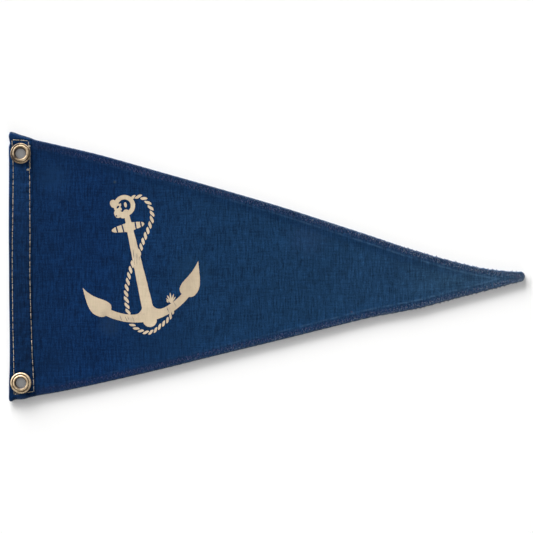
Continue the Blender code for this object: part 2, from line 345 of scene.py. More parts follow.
def panel_rows():
    """The panel's rows from one turned edge under the cloth, over the face, to the other."""
    lower = [PanelRow(-1, "turned", share) for share in TURNED_SHARES]
    lower += [PanelRow(-1, "fold", degrees) for degrees in FOLD_DEGREES]
    lower += [PanelRow(-1, "face", step) for step in FACE_STEPS]
    field = [PanelRow(0, "field", (k + 1) / (FIELD_ROWS + 1)) for k in range(FIELD_ROWS)]
    upper = [PanelRow(1, row.layer, row.at) for row in reversed(lower)]
    return lower + field + upper


def panel_columns():
    length = FLY_LENGTH - HEADING_WIDTH
    near_seam = np.array(SEAM_STEPS) / length
    near_tip = 1 - np.array(TIP_STEPS) / length
    between = np.linspace(near_seam[-1], near_tip[0], PANEL_COLUMNS + 1)[1:-1]
    return np.concatenate([near_seam, between, near_tip])


def panel_top(from_hoist, height, inside):
    """The lying panel's face: hems a layer higher than the field, with an inner ridge and a sewn band."""
    step = 1 - soft_step((inside - HEM_STEP_AT) / HEM_STEP_LENGTH)
    slope = 1 - soft_step((inside - HEM_SLOPE_AT) / HEM_SLOPE_LENGTH)
    hem = HEM_STEP_SHARE * step + (1 - HEM_STEP_SHARE) * slope
    top = FIELD_TOP + (HEM_TOP - FIELD_TOP) * hem
    top += RIDGE_HIGH * bell((inside - RIDGE_AT) / RIDGE_WIDTH)
    band = soft_step((inside - 1.0) / 2.0) * (1 - soft_step((inside - 6.0) / 2.0))
    top -= BAND_PRESS * band * (1 + 0.5 * np.sin(math.tau * from_hoist / HEM_PITCH))
    away = soft_step((inside - FIELD_AT) / FIELD_FADE)
    top += away * swell_rise(from_hoist, height) - crease_depth(PANEL_CREASES, from_hoist, height) * away
    top += rumple(from_hoist, height) * (0.4 + 0.6 * away)
    from_seam = from_hoist - seam_edge(height)
    gather = GATHER_HIGH * np.sin(math.tau * height / GATHER_LENGTH + 1.1 * np.sin(height / 17.0))
    top += gather * bell(from_seam / GATHER_REACH)
    pressed = 1 - soft_step(from_seam / SEAM_RISE_LENGTH)
    top = top * (1 - pressed) + SEAM_FIELD_TOP * pressed
    return top - SEAM_VALLEY * (1 - soft_step((from_seam + 0.2) / 1.3))


def panel_under(from_hoist, inside):
    band = soft_step(inside / 1.5) * (1 - soft_step((inside - 7.0) / 1.5))
    wander = 0.03 * np.sin(math.tau * from_hoist / HEM_PITCH)
    return HEM_UNDER + (0.24 + wander) * band


def edge_wander(from_hoist, side):
    """The small waver of a sewn edge, more of it towards the tip."""
    grown = 0.06 + 0.16 * soft_step((from_hoist - 300) / 180)
    fine = np.sin(math.tau * from_hoist / 9.3 + side) + 0.8 * np.sin(math.tau * from_hoist / 4.7 + 2 * side)
    fades = soft_step((from_hoist - 28) / 20) * soft_step((FLY_LENGTH - 2 - from_hoist) / 10)
    return grown * fine * fades


def panel_spots(share, side, layer, at):
    """Arrays of a panel point's places, and how far inside the edge each one is."""
    from_hoist = HEADING_WIDTH + (FLY_LENGTH - HEADING_WIDTH) * share
    turned, fold, face = layer == "turned", layer == "fold", layer == "face"
    for _ in range(FIT_ROUNDS):
        low = lower_edge(from_hoist) - edge_wander(from_hoist, -1)
        high = upper_edge(from_hoist) + edge_wander(from_hoist, 1)
        half = (high - low) / 2
        reach = np.minimum(FOLD_REACH, 0.55 * half)
        turn = np.minimum(HEM_TURN, 0.93 * half)
        shrink = np.minimum(1.0, 0.97 * (half - reach) / FACE_STEPS[-1])
        inside = np.where(turned, turn * at, 0.0)
        inside = np.where(fold, reach * (1 - np.cos(np.radians(np.where(fold, at, 0.0)))), inside)
        inside = np.where(face, reach + at * shrink, inside)
        hem = reach + FACE_STEPS[-1] * shrink
        height = np.where(side < 0, low + inside, high - inside)
        field_height = low + hem + (high - low - 2 * hem) * at
        height = np.where(side == 0, field_height, height)
        inside = np.where(side == 0, np.minimum(height - low, high - height), inside)
        tuck = np.where(turned | fold, 0.0, soft_step((inside - 9.0) / 5.0))
        start = seam_edge(height) + SEAM_CLEAR - (SEAM_CLEAR + SEAM_TUCK) * tuck
        from_hoist = start + (FLY_LENGTH - start) * share
    return from_hoist, height, inside, reach


def panel_place(column, row):
    rows = panel_rows()
    share = panel_columns()[column]
    side = np.array([r.side for r in rows])[row]
    layer = np.array([r.layer for r in rows])[row]
    at = np.array([r.at for r in rows], float)[row]
    from_hoist, height, inside, reach = panel_spots(share, side, layer, at)
    top = panel_top(from_hoist, height, inside)
    under = panel_under(from_hoist, inside)
    rim_top = panel_top(from_hoist, height, reach)
    rim_under = panel_under(from_hoist, reach)
    angle = np.radians(np.where(layer == "fold", at, 0.0))
    fold = (rim_top + rim_under) / 2 + (rim_top - rim_under) / 2 * np.sin(angle)
    z = np.where(layer == "turned", under, np.where(layer == "fold", fold, top))
    return in_frame(from_hoist, height, z)


def edge_distance(from_hoist, height):
    """How far a place on the panel is inside its nearest long edge, or the tip."""
    inside = np.minimum(height - lower_edge(from_hoist), upper_edge(from_hoist) - height)
    return np.minimum(inside, FLY_LENGTH - from_hoist)


def make_panel(material):
    shape = grid_of(len(panel_columns()) - 1, len(panel_rows()) - 1, panel_place)
    panel = object_of("panel_cloth", shape, material)
    thicken(panel, PANEL_CLOTH)
    store_edge_distance(panel)
    return panel


def store(piece, name, values):
    """Keeps one value for each point with the piece, for its material."""
    stored = piece.data.attributes.new(name, "FLOAT", "POINT")
    stored.data.foreach_set("value", values)


def store_edge_distance(piece):
    """Keeps each point's distance inside the cut edges."""
    spots = np.empty(len(piece.data.vertices) * 3)
    piece.data.vertices.foreach_get("co", spots)
    spots = spots.reshape(-1, 3) / MM
    inside = edge_distance(spots[:, 0] + FLY_LENGTH / 2, spots[:, 1])
    store(piece, "edge_inside", inside.astype(np.float32))


# The heading, one strip folded over the hoist edge

PLY_SHARES = (0.0, 0.012, 0.03, 0.055, 0.085, 0.12, 0.16, 0.2, 0.24, 0.28, 0.32, 0.36, 0.4, 0.44, 0.48, 0.52,
              0.56, 0.6, 0.64, 0.68, 0.72, 0.755, 0.79, 0.82, 0.85, 0.88, 0.91, 0.94, 0.965, 0.985, 1.0)
HEADING_FOLD_DEGREES = (-65, -40, -15, 15, 40, 65)
# The first rows at each end of the heading, as steps along a strip of this length
HEADING_STRIP = 264.0
HEADING_END_STEPS = (0.0, 0.3, 0.7, 1.2, 1.8, 2.5, 3.3, 4.2, 5.1, 6.0)


def line_presses(from_hoist, height):
    """How hard the stitch lines pull the heading in at a place, from 0 to 1, hardest at the needle holes."""
    beat = 0.8 + 0.2 * np.cos(math.tau * height / SEAM_PITCH)
    in_box = soft_step((height - BOX_FOOT[0]) / 2) * soft_step((BOX_TOP[0] - height) / 2)
    upright = bell((from_hoist - hoist_line(height)) / LINE_WIDTH)
    upright += bell((from_hoist - fly_line(height)) / LINE_WIDTH)
    across = soft_step((from_hoist - 3) / 2) * soft_step((25 - from_hoist) / 2)
    share = (from_hoist - 4.0) / 18.0
    level = 0.0
    for ends in (BOX_TOP, BOX_FOOT):
        level = level + bell((height - ends[0] - (ends[1] - ends[0]) * share) / LINE_WIDTH)
    return np.clip(upright * in_box * beat + level * across, 0.0, 1.0)


def grip_of(from_hoist, height):
    """How far the grommets press the cloth, from 0 away from them to 1 between flange and washer."""
    grip = np.zeros_like(from_hoist)
    for grommet in GROMMETS:
        away = np.hypot(from_hoist - grommet.from_hoist, height - grommet.height)
        grip = np.maximum(grip, 1 - soft_step((away - GRIP_REACH) / GRIP_FADE))
    return grip


def heading_levels(from_hoist, height):
    """The heights of the heading's face and of its underside."""
    fold, seam = fold_edge(height), seam_edge(height)
    ends = np.minimum(upper_edge(from_hoist) - height, height - lower_edge(from_hoist))
    closed = 1 - soft_step(ends / END_REACH)
    press = line_presses(from_hoist, height)
    puff = 0.10 * np.sin(math.pi * np.clip((from_hoist - fold) / (seam - fold), 0, 1))
    top = HEADING_TOP + puff * 0.6 + 1.6 * rumple(from_hoist + 90, 2.2 * height)
    top -= crease_depth(HEADING_CREASES, from_hoist, height) + LINE_PRESS_TOP * press
    near_line = bell((from_hoist - fly_line(height)) / 3.2) + bell((from_hoist - hoist_line(height)) / 2.6)
    top += 0.06 * near_line * np.cos(math.tau * height / SEAM_PITCH + math.pi)
    top -= HEADING_HUG * (1 - soft_step((seam - from_hoist) / HUG_REACH))
    under = HEADING_UNDER + LINE_PRESS_UNDER * press + 0.2 * (1 - soft_step((seam - from_hoist) / 0.8))
    top = top * (1 - closed) + HEADING_END_TOP * closed
    under = under * (1 - closed) + HEADING_END_UNDER * closed
    grip = grip_of(from_hoist, height)
    return top * (1 - grip) + GRIP_TOP * grip, under * (1 - grip) + GRIP_UNDER * grip


def heading_stations():
    """Each of the heading's columns as a layer and a share of the width or an angle round the fold."""
    under = [("under", share) for share in reversed(PLY_SHARES)]
    fold = [("fold", degrees) for degrees in HEADING_FOLD_DEGREES]
    return under + fold + [("face", share) for share in PLY_SHARES]


def heading_row_shares():
    ends = np.array(HEADING_END_STEPS) / HEADING_STRIP
    middle = np.linspace(ends[-1], 1 - ends[-1], HEADING_ROWS - 2 * len(ends))
    return np.concatenate([ends[:-1], middle, 1 - ends[:-1][::-1]])


def heading_place(column, row):
    stations = heading_stations()
    layer = np.array([s[0] for s in stations])[column]
    at = np.array([s[1] for s in stations], float)[column]
    up = heading_row_shares()[row]
    flat = layer != "fold"
    angle = np.radians(np.where(flat, 0.0, at))
    from_hoist = HEADING_WIDTH * np.where(flat, at, 0.0)
    for _ in range(FIT_ROUNDS):
        low, high = lower_edge(from_hoist), upper_edge(from_hoist)
        height = low + (high - low) * up
        fold, seam = fold_edge(height), seam_edge(height)
        flat_place = fold + HEADING_FOLD + (seam - fold - HEADING_FOLD) * at
        from_hoist = np.where(flat, flat_place, fold + HEADING_FOLD * (1 - np.cos(angle)))
    top, under = heading_levels(np.maximum(from_hoist, fold + HEADING_FOLD), height)
    round_z = (top + under) / 2 + (top - under) / 2 * np.sin(angle)
    z = np.where(layer == "face", top, np.where(layer == "under", under, round_z))
    return in_frame(from_hoist, height, z)


def cut_cloth_holes(shape):
    """Opens the cloth at each grommet, with the border drawn to a clean circle that the metal covers."""
    for grommet in GROMMETS:
        middle = grommet_middle(grommet)
        away = {vert: (vert.co.xy - middle.xy).length / MM for vert in shape.verts}
        inner = {vert for vert, distance in away.items() if distance < CLOTH_HOLE}
        lost = [face for face in shape.faces if any(vert in inner for vert in face.verts)]
        bmesh.ops.delete(shape, geom=lost, context="FACES")
        for vert in shape.verts:
            if vert.is_boundary and (vert.co.xy - middle.xy).length < (CLOTH_HOLE + 2) * MM:
                outward = (vert.co.xy - middle.xy).normalized() * CLOTH_HOLE * MM
                vert.co.xy = middle.xy + outward


def make_heading(material):
    shape = grid_of(len(heading_stations()) - 1, len(heading_row_shares()) - 1, heading_place)
    cut_cloth_holes(shape)
    heading = object_of("heading_cloth", shape, material)
    thicken(heading, HEADING_CLOTH)
    store_edge_distance(heading)
    return heading


# Threads, laid on the finished cloth


def tree_of(pieces):
    """A search tree over finished pieces, to lay threads and ink on."""
    points, faces = [], []
    for piece in pieces:
        start = len(points)
        points += [vert.co.copy() for vert in piece.data.vertices]
        faces += [[start + i for i in face.vertices] for face in piece.data.polygons]
    return BVHTree.FromPolygons(points, faces)


def cloth_level(tree, from_hoist, height, side):
    """The height of the cloth's face, or of its underside where side is -1, at a place."""
    start = Vector(((from_hoist - FLY_LENGTH / 2) * MM, height * MM, side * 10 * MM))
    hit = tree.ray_cast(start, Vector((0, 0, -side)))[0]
    return hit.z / MM if hit else None


Thread = namedtuple("Thread", "points radii")


def threads_object(name, threads, material, sides):
    """Many short threads as one closed mesh."""
    curve = bpy.data.curves.new(name, "CURVE")
    curve.dimensions = "3D"
    curve.bevel_mode = "ROUND"
    curve.bevel_depth = 1.0 * MM
    curve.bevel_resolution = sides
    curve.use_fill_caps = True
    for thread in threads:
        spline = curve.splines.new("POLY")
        spline.points.add(len(thread.points) - 1)
        spots = np.column_stack([thread.points, np.ones(len(thread.points))])
        spline.points.foreach_set("co", spots.ravel())
        spline.points.foreach_set("radius", np.array(thread.radii, float))
    holder = linked(name, curve)
    graph = bpy.context.evaluated_depsgraph_get()
    mesh = bpy.data.meshes.new_from_object(holder.evaluated_get(graph))
    bpy.data.objects.remove(holder)
    bpy.data.curves.remove(curve)
    mesh.name = name
    mesh.shade_smooth()
    mesh.materials.clear()
    mesh.materials.append(material)
    return linked(name, mesh)


def laid_stitch(tree, start, end, side):
    """The middle line of one stitch from hole to hole, lying on the cloth and dipping in at both ends."""
    t = np.linspace(0, 1, STITCH_POINTS)
    from_hoist = start[0] + (end[0] - start[0]) * t
    height = start[1] + (end[1] - start[1]) * t
    rise = soft_step((np.minimum(t, 1 - t) - 0.03) / 0.12)
    z = []
    for f, h, up in zip(from_hoist, height, rise):
        cloth = cloth_level(tree, f, h, side)
        cloth = BARE_LEVEL if cloth is None else cloth
        z.append(cloth + side * (SEAM_SINK * (up - 1) + SEAM_LIFT * up))
    return np.stack([from_hoist, height, np.array(z)], axis=-1), SEAM_THREAD * (0.72 + 0.28 * rise)


def plied(line, radii, phase):
    """Two strands twisted round a stitch's middle line."""
    run = np.gradient(line[:, :2], axis=0)
    run /= np.linalg.norm(run, axis=1)[:, None]
    sideways = np.stack([-run[:, 1], run[:, 0], np.zeros(len(line))], axis=-1)
    turn = math.tau * SEAM_PLY_TURNS * np.linspace(0, 1, len(line)) + phase
    strands = []
    for opposite in (0.0, math.pi):
        shift = sideways * np.cos(turn + opposite)[:, None] * SEAM_PLY_APART
        shift[:, 2] = 0.75 * SEAM_PLY_APART * np.sin(turn + opposite)
        strand = line + shift
        strands.append(Thread(in_frame(strand[:, 0], strand[:, 1], strand[:, 2]), radii))
    return strands


def holes_along(start, end, path, random):
    """Needle holes from start to end at the seam's pitch, a little uneven, on a path of one number."""
    count = max(1, round(abs(end - start) / SEAM_PITCH))
    places = np.linspace(start, end, count + 1)
    places[1:-1] += random.uniform(-0.35, 0.35, count - 1)
    return [path(place, random.uniform(-0.12, 0.12)) for place in places]


def heading_runs(random):
    """The needle holes of each straight run of the heading's box of stitches."""
    def upright(line, apart=0.0):
        return lambda height, off: (float(line(height)) + apart + off, height)

    def across(ends):
        fall = ends[1] - ends[0]
        return lambda from_hoist, off: (from_hoist, ends[0] + fall * (from_hoist - 3.5) / 17.0 + off)

    return [
        holes_along(BOX_TOP[0] - 0.3, BOX_FOOT[0], upright(hoist_line), random),
        holes_along(BOX_TOP[1] - 0.4, BOX_FOOT[1], upright(fly_line), random),
        holes_along(3.6, 19.4, across(BOX_TOP), random),
        holes_along(5.4, 24.9, across(BOX_FOOT), random),
        holes_along(119.5, 97.0, upright(fly_line, SECOND_PASS), random),
    ]


def covered(start, end):
    """Whether a stitch lies under a grommet."""
    middle = ((start[0] + end[0]) / 2, (start[1] + end[1]) / 2)
    return any(math.dist(middle, (g.from_hoist, g.height)) < COVERED_REACH for g in GROMMETS)


def make_heading_stitches(tree, material, side, name):
    random = np.random.default_rng(SEED)
    threads = []
    for holes in heading_runs(random):
        for start, end in zip(holes[:-1], holes[1:]):
            if covered(start, end):
                continue
            line, radii = laid_stitch(tree, start, end, side)
            threads += plied(line, radii, random.uniform(0, math.tau))
    if side > 0:
        threads += knot_threads(tree)
    return threads_object(name, threads, material, 1)


Knot = namedtuple("Knot", "from_hoist height loop lean")
SEAM_KNOTS = [Knot(*row) for row in (
    (21.0, 120.4, 0.95, 0.5), (19.6, 96.7, 1.0, 2.9),
)]


def knot_threads(tree):
    """The small knots where the stitching was started and ended."""
    threads = []
    for knot in SEAM_KNOTS:
        base = cloth_level(tree, knot.from_hoist, knot.height, 1)
        t = np.linspace(0, 1, KNOT_POINTS)
        turn = math.tau * 1.7 * t + knot.lean
        reach = knot.loop * (0.35 + 0.65 * np.sin(math.pi * t))
        from_hoist = knot.from_hoist + reach * np.cos(turn) - 0.6 * t * math.cos(knot.lean / 3)
        height = knot.height + 0.8 * reach * np.sin(turn)
        z = base + 0.25 + 0.45 * np.sin(math.pi * t)
        threads.append(Thread(in_frame(from_hoist, height, z), np.full(KNOT_POINTS, SEAM_THREAD * 1.25)))
    return threads


# The hems' zigzag: how far inside the edge its outer and inner needle holes are
ZigzagStation = namedtuple("ZigzagStation", "from_hoist upper_outer upper_inner lower_outer lower_inner")
ZIGZAG = [ZigzagStation(*row) for row in (
    (20.0, 3.2, 8.6, 2.0, 7.0), (90.0, 2.6, 8.2, 1.9, 7.2), (200.0, 2.0, 7.8, 1.6, 7.0),
    (310.0, 1.4, 7.2, 1.0, 6.6), (360.0, 0.5, 6.8, 0.4, 6.4), (390.0, -0.35, 6.6, -0.35, 6.2),
    (470.0, -0.45, 6.2, -0.5, 6.0), (516.0, -0.45, 5.6, -0.5, 5.6),
)]
ZIGZAG_WANDER = (0.38, 0.45)
ZIGZAG_START = 25.5
ZIGZAG_END = 512.5
# The stitches that wrap the tip, by their directions in degrees
TIP_STITCHES = (-70, -42, -14, 14, 42, 70)
TIP_MIDDLE = (511.4, -9.6)
TIP_REACH = (4.7, 5.0)


def zigzag_holes(side_name, random):
    """The zigzag's needle holes along one long edge, outer and inner by turns."""
    outer = curve_of(ZIGZAG, side_name + "_outer")
    inner = curve_of(ZIGZAG, side_name + "_inner")
    edge = upper_edge if side_name == "upper" else lower_edge
    inward = -1 if side_name == "upper" else 1
    count = int((ZIGZAG_END - ZIGZAG_START) / (HEM_PITCH / 2))
    along, across = ZIGZAG_WANDER
    holes = []
    for k in range(count):
        from_hoist = ZIGZAG_START + k * HEM_PITCH / 2 + random.uniform(-along, along)
        half = float(upper_edge(from_hoist) - lower_edge(from_hoist)) / 2
        inside = float(outer(from_hoist) if k % 2 else inner(from_hoist)) + random.uniform(-across, across)
        if k % 2 == 0:
            inside = min(inside, 0.92 * half)
        wander = float(edge_wander(from_hoist, -inward))
        height = float(edge(from_hoist)) - inward * wander + inward * inside
        holes.append((from_hoist, height, inside))
    return holes


def hem_leg(tree, start, end, side):
    """One leg of the zigzag, from hole to hole, or over the edge where it has its outer point there."""
    t = np.linspace(0, 1, LEG_POINTS)
    from_hoist = start[0] + (end[0] - start[0]) * t
    height = start[1] + (end[1] - start[1]) * t
    inside = start[2] + (end[2] - start[2]) * t
    dips = np.ones(LEG_POINTS)
    for k, hole in ((0, start), (-1, end)):
        if hole[2] > 0.2:
            dips[k] = 0.0
    z = []
    for f, h, d, up in zip(from_hoist, height, inside, dips):
        cloth = cloth_level(tree, f, h, side)
        if cloth is None or d < 0.15:
            z.append(HEM_MIDDLE + side * 0.25)
        else:
            z.append(cloth - side * (HEM_SUNK * up + HEM_HOLE_SUNK * (1 - up)))
    radii = HEM_THREAD * (0.7 + 0.3 * dips)
    return Thread(in_frame(from_hoist, height, np.array(z)), radii)


def make_hem_stitches(tree, material, side, name):
    random = np.random.default_rng(SEED + 1)
    threads = []
    for side_name in ("upper", "lower"):
        holes = zigzag_holes(side_name, random)
        for start, end in zip(holes[:-1], holes[1:]):
            threads.append(hem_leg(tree, start, end, side))
    for degrees in TIP_STITCHES:
        threads.append(tip_wrap(tree, math.radians(degrees), side))
    return threads_object(name, threads, material, 0)


def tip_wrap(tree, angle, side):
    """A stitch that wraps the tip, from inside the cloth out over its rounded end."""
    t = np.linspace(0.15, 1, TIP_POINTS)
    from_hoist = TIP_MIDDLE[0] + TIP_REACH[0] * t * math.cos(angle)
    height = TIP_MIDDLE[1] + TIP_REACH[1] * t * math.sin(angle)
    z = []
    for f, h in zip(from_hoist, height):
        cloth = cloth_level(tree, f, h, side)
        z.append(HEM_MIDDLE + side * 0.2 if cloth is None else cloth - side * 0.06)
    z[0] -= side * 0.4
    return Thread(in_frame(from_hoist, height, np.array(z)), np.full(TIP_POINTS, 0.75 * HEM_THREAD))


# The brass grommets: an eyelet from behind and a washer on the face

# The eyelet's back and barrel, from the hole's foot round the flange and up to the roll, as (radius, height)
FLANGE_PROFILE = [
    (5.22, 0.6), (5.4, 0.28), (5.8, 0.09), (6.5, 0.02), (7.6, 0.0), (8.8, 0.03), (9.6, 0.13),
    (10.05, 0.34), (10.2, 0.62), (10.08, 0.84), (9.86, 0.88), (9.74, 0.74), (9.6, 0.58), (9.0, 0.5),
    (7.4, 0.46), (6.4, 0.5), (5.9, 0.66), (5.66, 1.0), (5.62, 1.6), (5.62, 2.4), (5.64, 2.88),
    (5.8, 3.1), (6.2, 3.16),
]
ROLL_LOW = 3.0
ROLL_TOP = 3.9
# The washer's underside and rim
WASHER_UNDER = [(9.3, 2.8), (8.9, 2.58), (8.4, 2.46), (7.6, 2.42), (6.6, 2.42), (5.85, 2.46), (5.8, 2.66)]
WASHER_RIM = [
    (10.4, 2.52), (10.34, 2.22), (10.2, 2.12), (10.06, 2.2), (9.98, 2.5), (9.82, 2.78), (9.6, 2.88),
]
WASHER_LAND = 2.82
WASHER_RADIUS = 10.4
WASHER_SHOULDER = 2.5
# Where grime has settled, as a share of the way from the roll's end to the rim, and how wide it is
Grime = namedtuple("Grime", "kind share width")
GRIME = [Grime(*row) for row in (
    ("groove", 0.12, 0.55), ("rim", 1.0, 0.35),
)]
# How strongly painted shade darkens the brass down in each hole
SHADE_DEPTH = 1.3


def eyelet_profile(grommet):
    outer = [(grommet.roll - 0.6, 3.02), (grommet.roll - 0.2, 2.93)]
    for degrees in range(0, 90, 15):
        turn = math.radians(degrees)
        out = grommet.crest + (grommet.roll - grommet.crest) * math.cos(turn)
        outer.append((out, ROLL_LOW + (ROLL_TOP - ROLL_LOW) * math.sin(turn)))
    inner = []
    for degrees in range(0, 91, 10):
        turn = math.radians(degrees)
        out = grommet.crest - (grommet.crest - grommet.hole) * math.sin(turn)
        inner.append((out, grommet.flare + (ROLL_TOP - grommet.flare) * math.cos(turn)))
    return FLANGE_PROFILE + outer + inner + [(grommet.hole + 0.01, 1.3), (grommet.hole + 0.05, 0.95)]


def washer_profile(grommet):
    foot = grommet.roll + 0.12
    top = [(6.2, WASHER_LAND), (7.0, WASHER_LAND), (foot - 0.2, WASHER_LAND)]
    for share in np.linspace(0.15, 1.0, 8):
        rise = float(soft_step(share))
        out = foot + (grommet.bead - foot) * share
        top.append((out, WASHER_LAND + (grommet.bead_top - WASHER_LAND) * rise))
    for degrees in (20, 40, 60, 76):
        turn = math.radians(degrees)
        out = grommet.bead + (WASHER_RADIUS - grommet.bead) * math.sin(turn)
        top.append((out, WASHER_SHOULDER + (grommet.bead_top - WASHER_SHOULDER) * math.cos(turn)))
    return WASHER_UNDER + top + WASHER_RIM


def spun_ring(profile, grommet):
    """A closed profile spun once round a grommet's middle."""
    middle = grommet_middle(grommet)
    shape = bmesh.new()
    ring = [shape.verts.new((middle.x + r * MM, middle.y, z * MM)) for r, z in profile]
    edges = [shape.edges.new((a, b)) for a, b in zip(ring, ring[1:] + ring[:1])]
    bmesh.ops.subdivide_edges(shape, edges=edges, cuts=1, smooth=0.6)
    bmesh.ops.spin(
        shape, geom=shape.verts[:] + shape.edges[:], cent=middle, axis=(0, 0, 1), dvec=(0, 0, 0),
        angle=math.tau, steps=GROMMET_STEPS, use_merge=True, use_normal_flip=False, use_duplicate=False,
    )
    bmesh.ops.recalc_face_normals(shape, faces=shape.faces)
    return shape, middle


def set_unevenly(shape, middle, grommet):
    """The unevenness of a hand-set grommet: a slight oval, a lean of the roll and a few soft dents."""
    seed = grommet.seed
    for vert in shape.verts:
        out = vert.co.xy - middle.xy
        angle = math.atan2(out.y, out.x)
        radius = out.length / MM
        z = vert.co.z / MM
        front = min(1.0, max(0.0, (z - 2.0) / 0.8))
        oval = 1 + front * (0.006 * math.cos(2 * (angle - seed)) + 0.004 * math.cos(3 * angle + 2 * seed))
        dent = 0.05 * math.cos(angle - 2 * seed) + 0.03 * math.cos(5 * angle + seed)
        dent += 0.02 * math.cos(9 * angle)
        outside = front * min(1.0, max(0.0, (radius - grommet.hole) / 2))
        narrow = [1 - (1 - share) * outside for share in grommet.narrow]
        high = min(1.0, max(0.0, (z - 3.0) / 0.5)) * MM
        vert.co.x = middle.x + out.x * oval * narrow[0] + grommet.off[0] * high
        vert.co.y = middle.y + out.y * oval * narrow[1] + grommet.off[1] * high
        vert.co.z += front * dent * MM * (0.4 + 0.6 * min(1.0, radius / 9))


def grime_and_shade_at(grommet, angle, radius, level):
    """How dark a grommet is at a place, from 0 to 1: soiled in its groove and at its rim, and with painted
    shade down in the hole and on its left side.
    """
    wander = 1 + 0.3 * math.sin(3 * angle + 4 * grommet.seed) + 0.15 * math.sin(7 * angle)
    # Painted shade: darkest on the ring's left side, weaker at its top and bottom, none on its right
    grime_and_shade = grommet.dull * max(0.0, 0.35 - 0.65 * math.cos(angle))
    for darkening in GRIME:
        ring = grommet.roll + (WASHER_RADIUS - grommet.roll) * darkening.share
        grime_and_shade += getattr(grommet, darkening.kind) * math.exp(-((radius - ring) / (darkening.width * wander)) ** 2)
    # Painted shade down the funnel of the hole, and more of it in the bore below the flare
    down = (grommet.crest - radius) / (grommet.crest - grommet.hole)
    grime_and_shade += SHADE_DEPTH * max(0.0, min(1.0, down)) ** 1.3
    if radius < grommet.hole + 0.6 and level < grommet.flare:
        grime_and_shade += 0.4
    return min(1.0, grime_and_shade)


def make_ring(name, profile, grommet, material):
    shape, middle = spun_ring(profile, grommet)
    set_unevenly(shape, middle, grommet)
    ring = object_of(name, shape, material, smooth_deg=70)
    values = []
    for vert in ring.data.vertices:
        out = vert.co.xy - middle.xy - Vector(grommet.off) * MM
        values.append(grime_and_shade_at(grommet, math.atan2(out.y, out.x), out.length / MM, vert.co.z / MM))
    # Each point's soiling and painted shade, for the brass's colour
    store(ring, "darkening", values)
    return ring


# The print: shapes of ink and of gaps, in the order that they cover each other, in the anchor's own frame

ANCHOR_FOOT = (141.2, -51.3)
ANCHOR_TILT = math.radians(12.7)
FILM_LIFT = 0.03
FILM_THICK = 0.07
FILM_GRID = 2.2
PRINT_WAVER = 0.06

RING_MIDDLE = (-0.2, 115.2)
RING_OUTER = 10.7
RING_BAR = 4.4
ARM_MIDDLE = (0.0, 65.7)
ARM_RADIUS = 64.8
ARM_THICK = 7.8
ARM_REACH_DEG = 38.5
STOCK_MIDDLE = (-1.4, 93.4)
STOCK_REACH = 16.6
STOCK_STRIPES = (-12.8, -6.8, 6.4, 11.8)
STRIPE_WIDE = 1.5
STRIPE_REACH = (87.0, 100.0)
FLUKE_BASE = (42.5, 17.5)
FLUKE_TIP = (59.4, 44.6)
FLUKE_BOW = 2.2
LEFT_FLUKE_LENGTH = 0.965
FLUKE_LENGTH = 32.0
FLUKE_WIDTHS = [
    (-4.8, 2.2), (-4.2, 4.8), (-2.8, 6.9), (-0.5, 8.4), (2.5, 9.0), (6.0, 9.0), (10.0, 8.0),
    (15.0, 6.1), (20.0, 4.1), (25.0, 2.3), (29.0, 1.0), (FLUKE_LENGTH, 0.15),
]
SHANK_HALF_WIDTHS = [
    (-4.0, 5.6), (6.0, 5.6), (20.0, 5.35), (40.0, 4.8), (60.0, 4.2), (80.0, 3.5), (90.0, 3.1),
    (100.0, 2.7), (107.0, 2.5),
]
# Ellipses: middle, half sizes and lean in degrees
Lobe = namedtuple("Lobe", "x y wide tall lean")
CROWN = Lobe(-0.5, -2.6, 6.8, 6.4, 0.0)
BOSS = Lobe(-0.3, 93.2, 5.6, 5.6, 0.0)
EYE = Lobe(0.0, 107.6, 3.4, 3.6, 0.0)
# The rope's strands, and the paths of its three runs that show, each with its size
STRAND_LONG = 8.0
STRAND_WIDE = 2.9
STRAND_LEAN = math.radians(26)
STRAND_PITCH = 5.8
RUN_SIZES = (1.0, 1.0, 0.88)

ROPE_RUNS = [
    [(9.4, 121.2), (16.6, 120.6), (21.7, 116.4), (24.4, 109.8), (25.1, 103.4), (24.3, 97.6), (18.6, 87.8),
     (10.3, 76.5), (4.0, 66.2)],
    [(-5.2, 56.4), (-9.8, 48.6), (-13.2, 41.2), (-17.6, 30.0), (-19.6, 18.0), (-20.0, 11.0)],
    [(-18.6, -3.0), (-16.0, -6.8), (-11.2, -10.9), (-4.3, -14.0), (1.8, -13.2), (7.1, -10.8), (16.4, -6.0),
     (21.2, -1.8), (23.6, 1.6)],
]
# The hitch on the ring
HITCH_LOBES = [Lobe(*row) for row in (
    (-10.4, 119.3, 3.4, 4.2, 12.0), (-7.3, 117.5, 4.2, 3.6, 0.0), (-6.6, 112.2, 3.2, 3.0, 30.0),
    (-8.7, 108.6, 3.3, 4.2, 12.0), (-3.2, 106.0, 4.2, 3.0, -10.0),
)]
HITCH_GAPS = [Lobe(*row) for row in (
    (-6.9, 115.2, 1.7, 1.0, 35.0), (-10.3, 106.9, 0.9, 0.75, 10.0), (-3.9, 110.4, 1.5, 0.65, -40.0),
    (-4.2, 119.0, 1.3, 0.85, 20.0),
)]
RING_DROP = Lobe(1.0, 115.8, 1.35, 2.7, -4.0)
# The rope's frayed end: its foot, the lobes there and its spikes
TUFT_FOOT = (24.4, 10.6)
TUFT_LOBES = [Lobe(*row) for row in (
    (TUFT_FOOT[0], TUFT_FOOT[1] + 1.6, 2.1, 2.6, 0.0),
    (TUFT_FOOT[0] - 3.6, TUFT_FOOT[1] + 1.8, 0.8, 1.5, 20.0),
)]
# Direction in degrees, length and width at the foot
TUFT_SPIKES = [(132.0, 6.6, 1.5), (109.0, 8.2, 1.5), (86.0, 9.6, 1.7), (62.0, 8.7, 1.5), (40.0, 7.0, 1.4)]

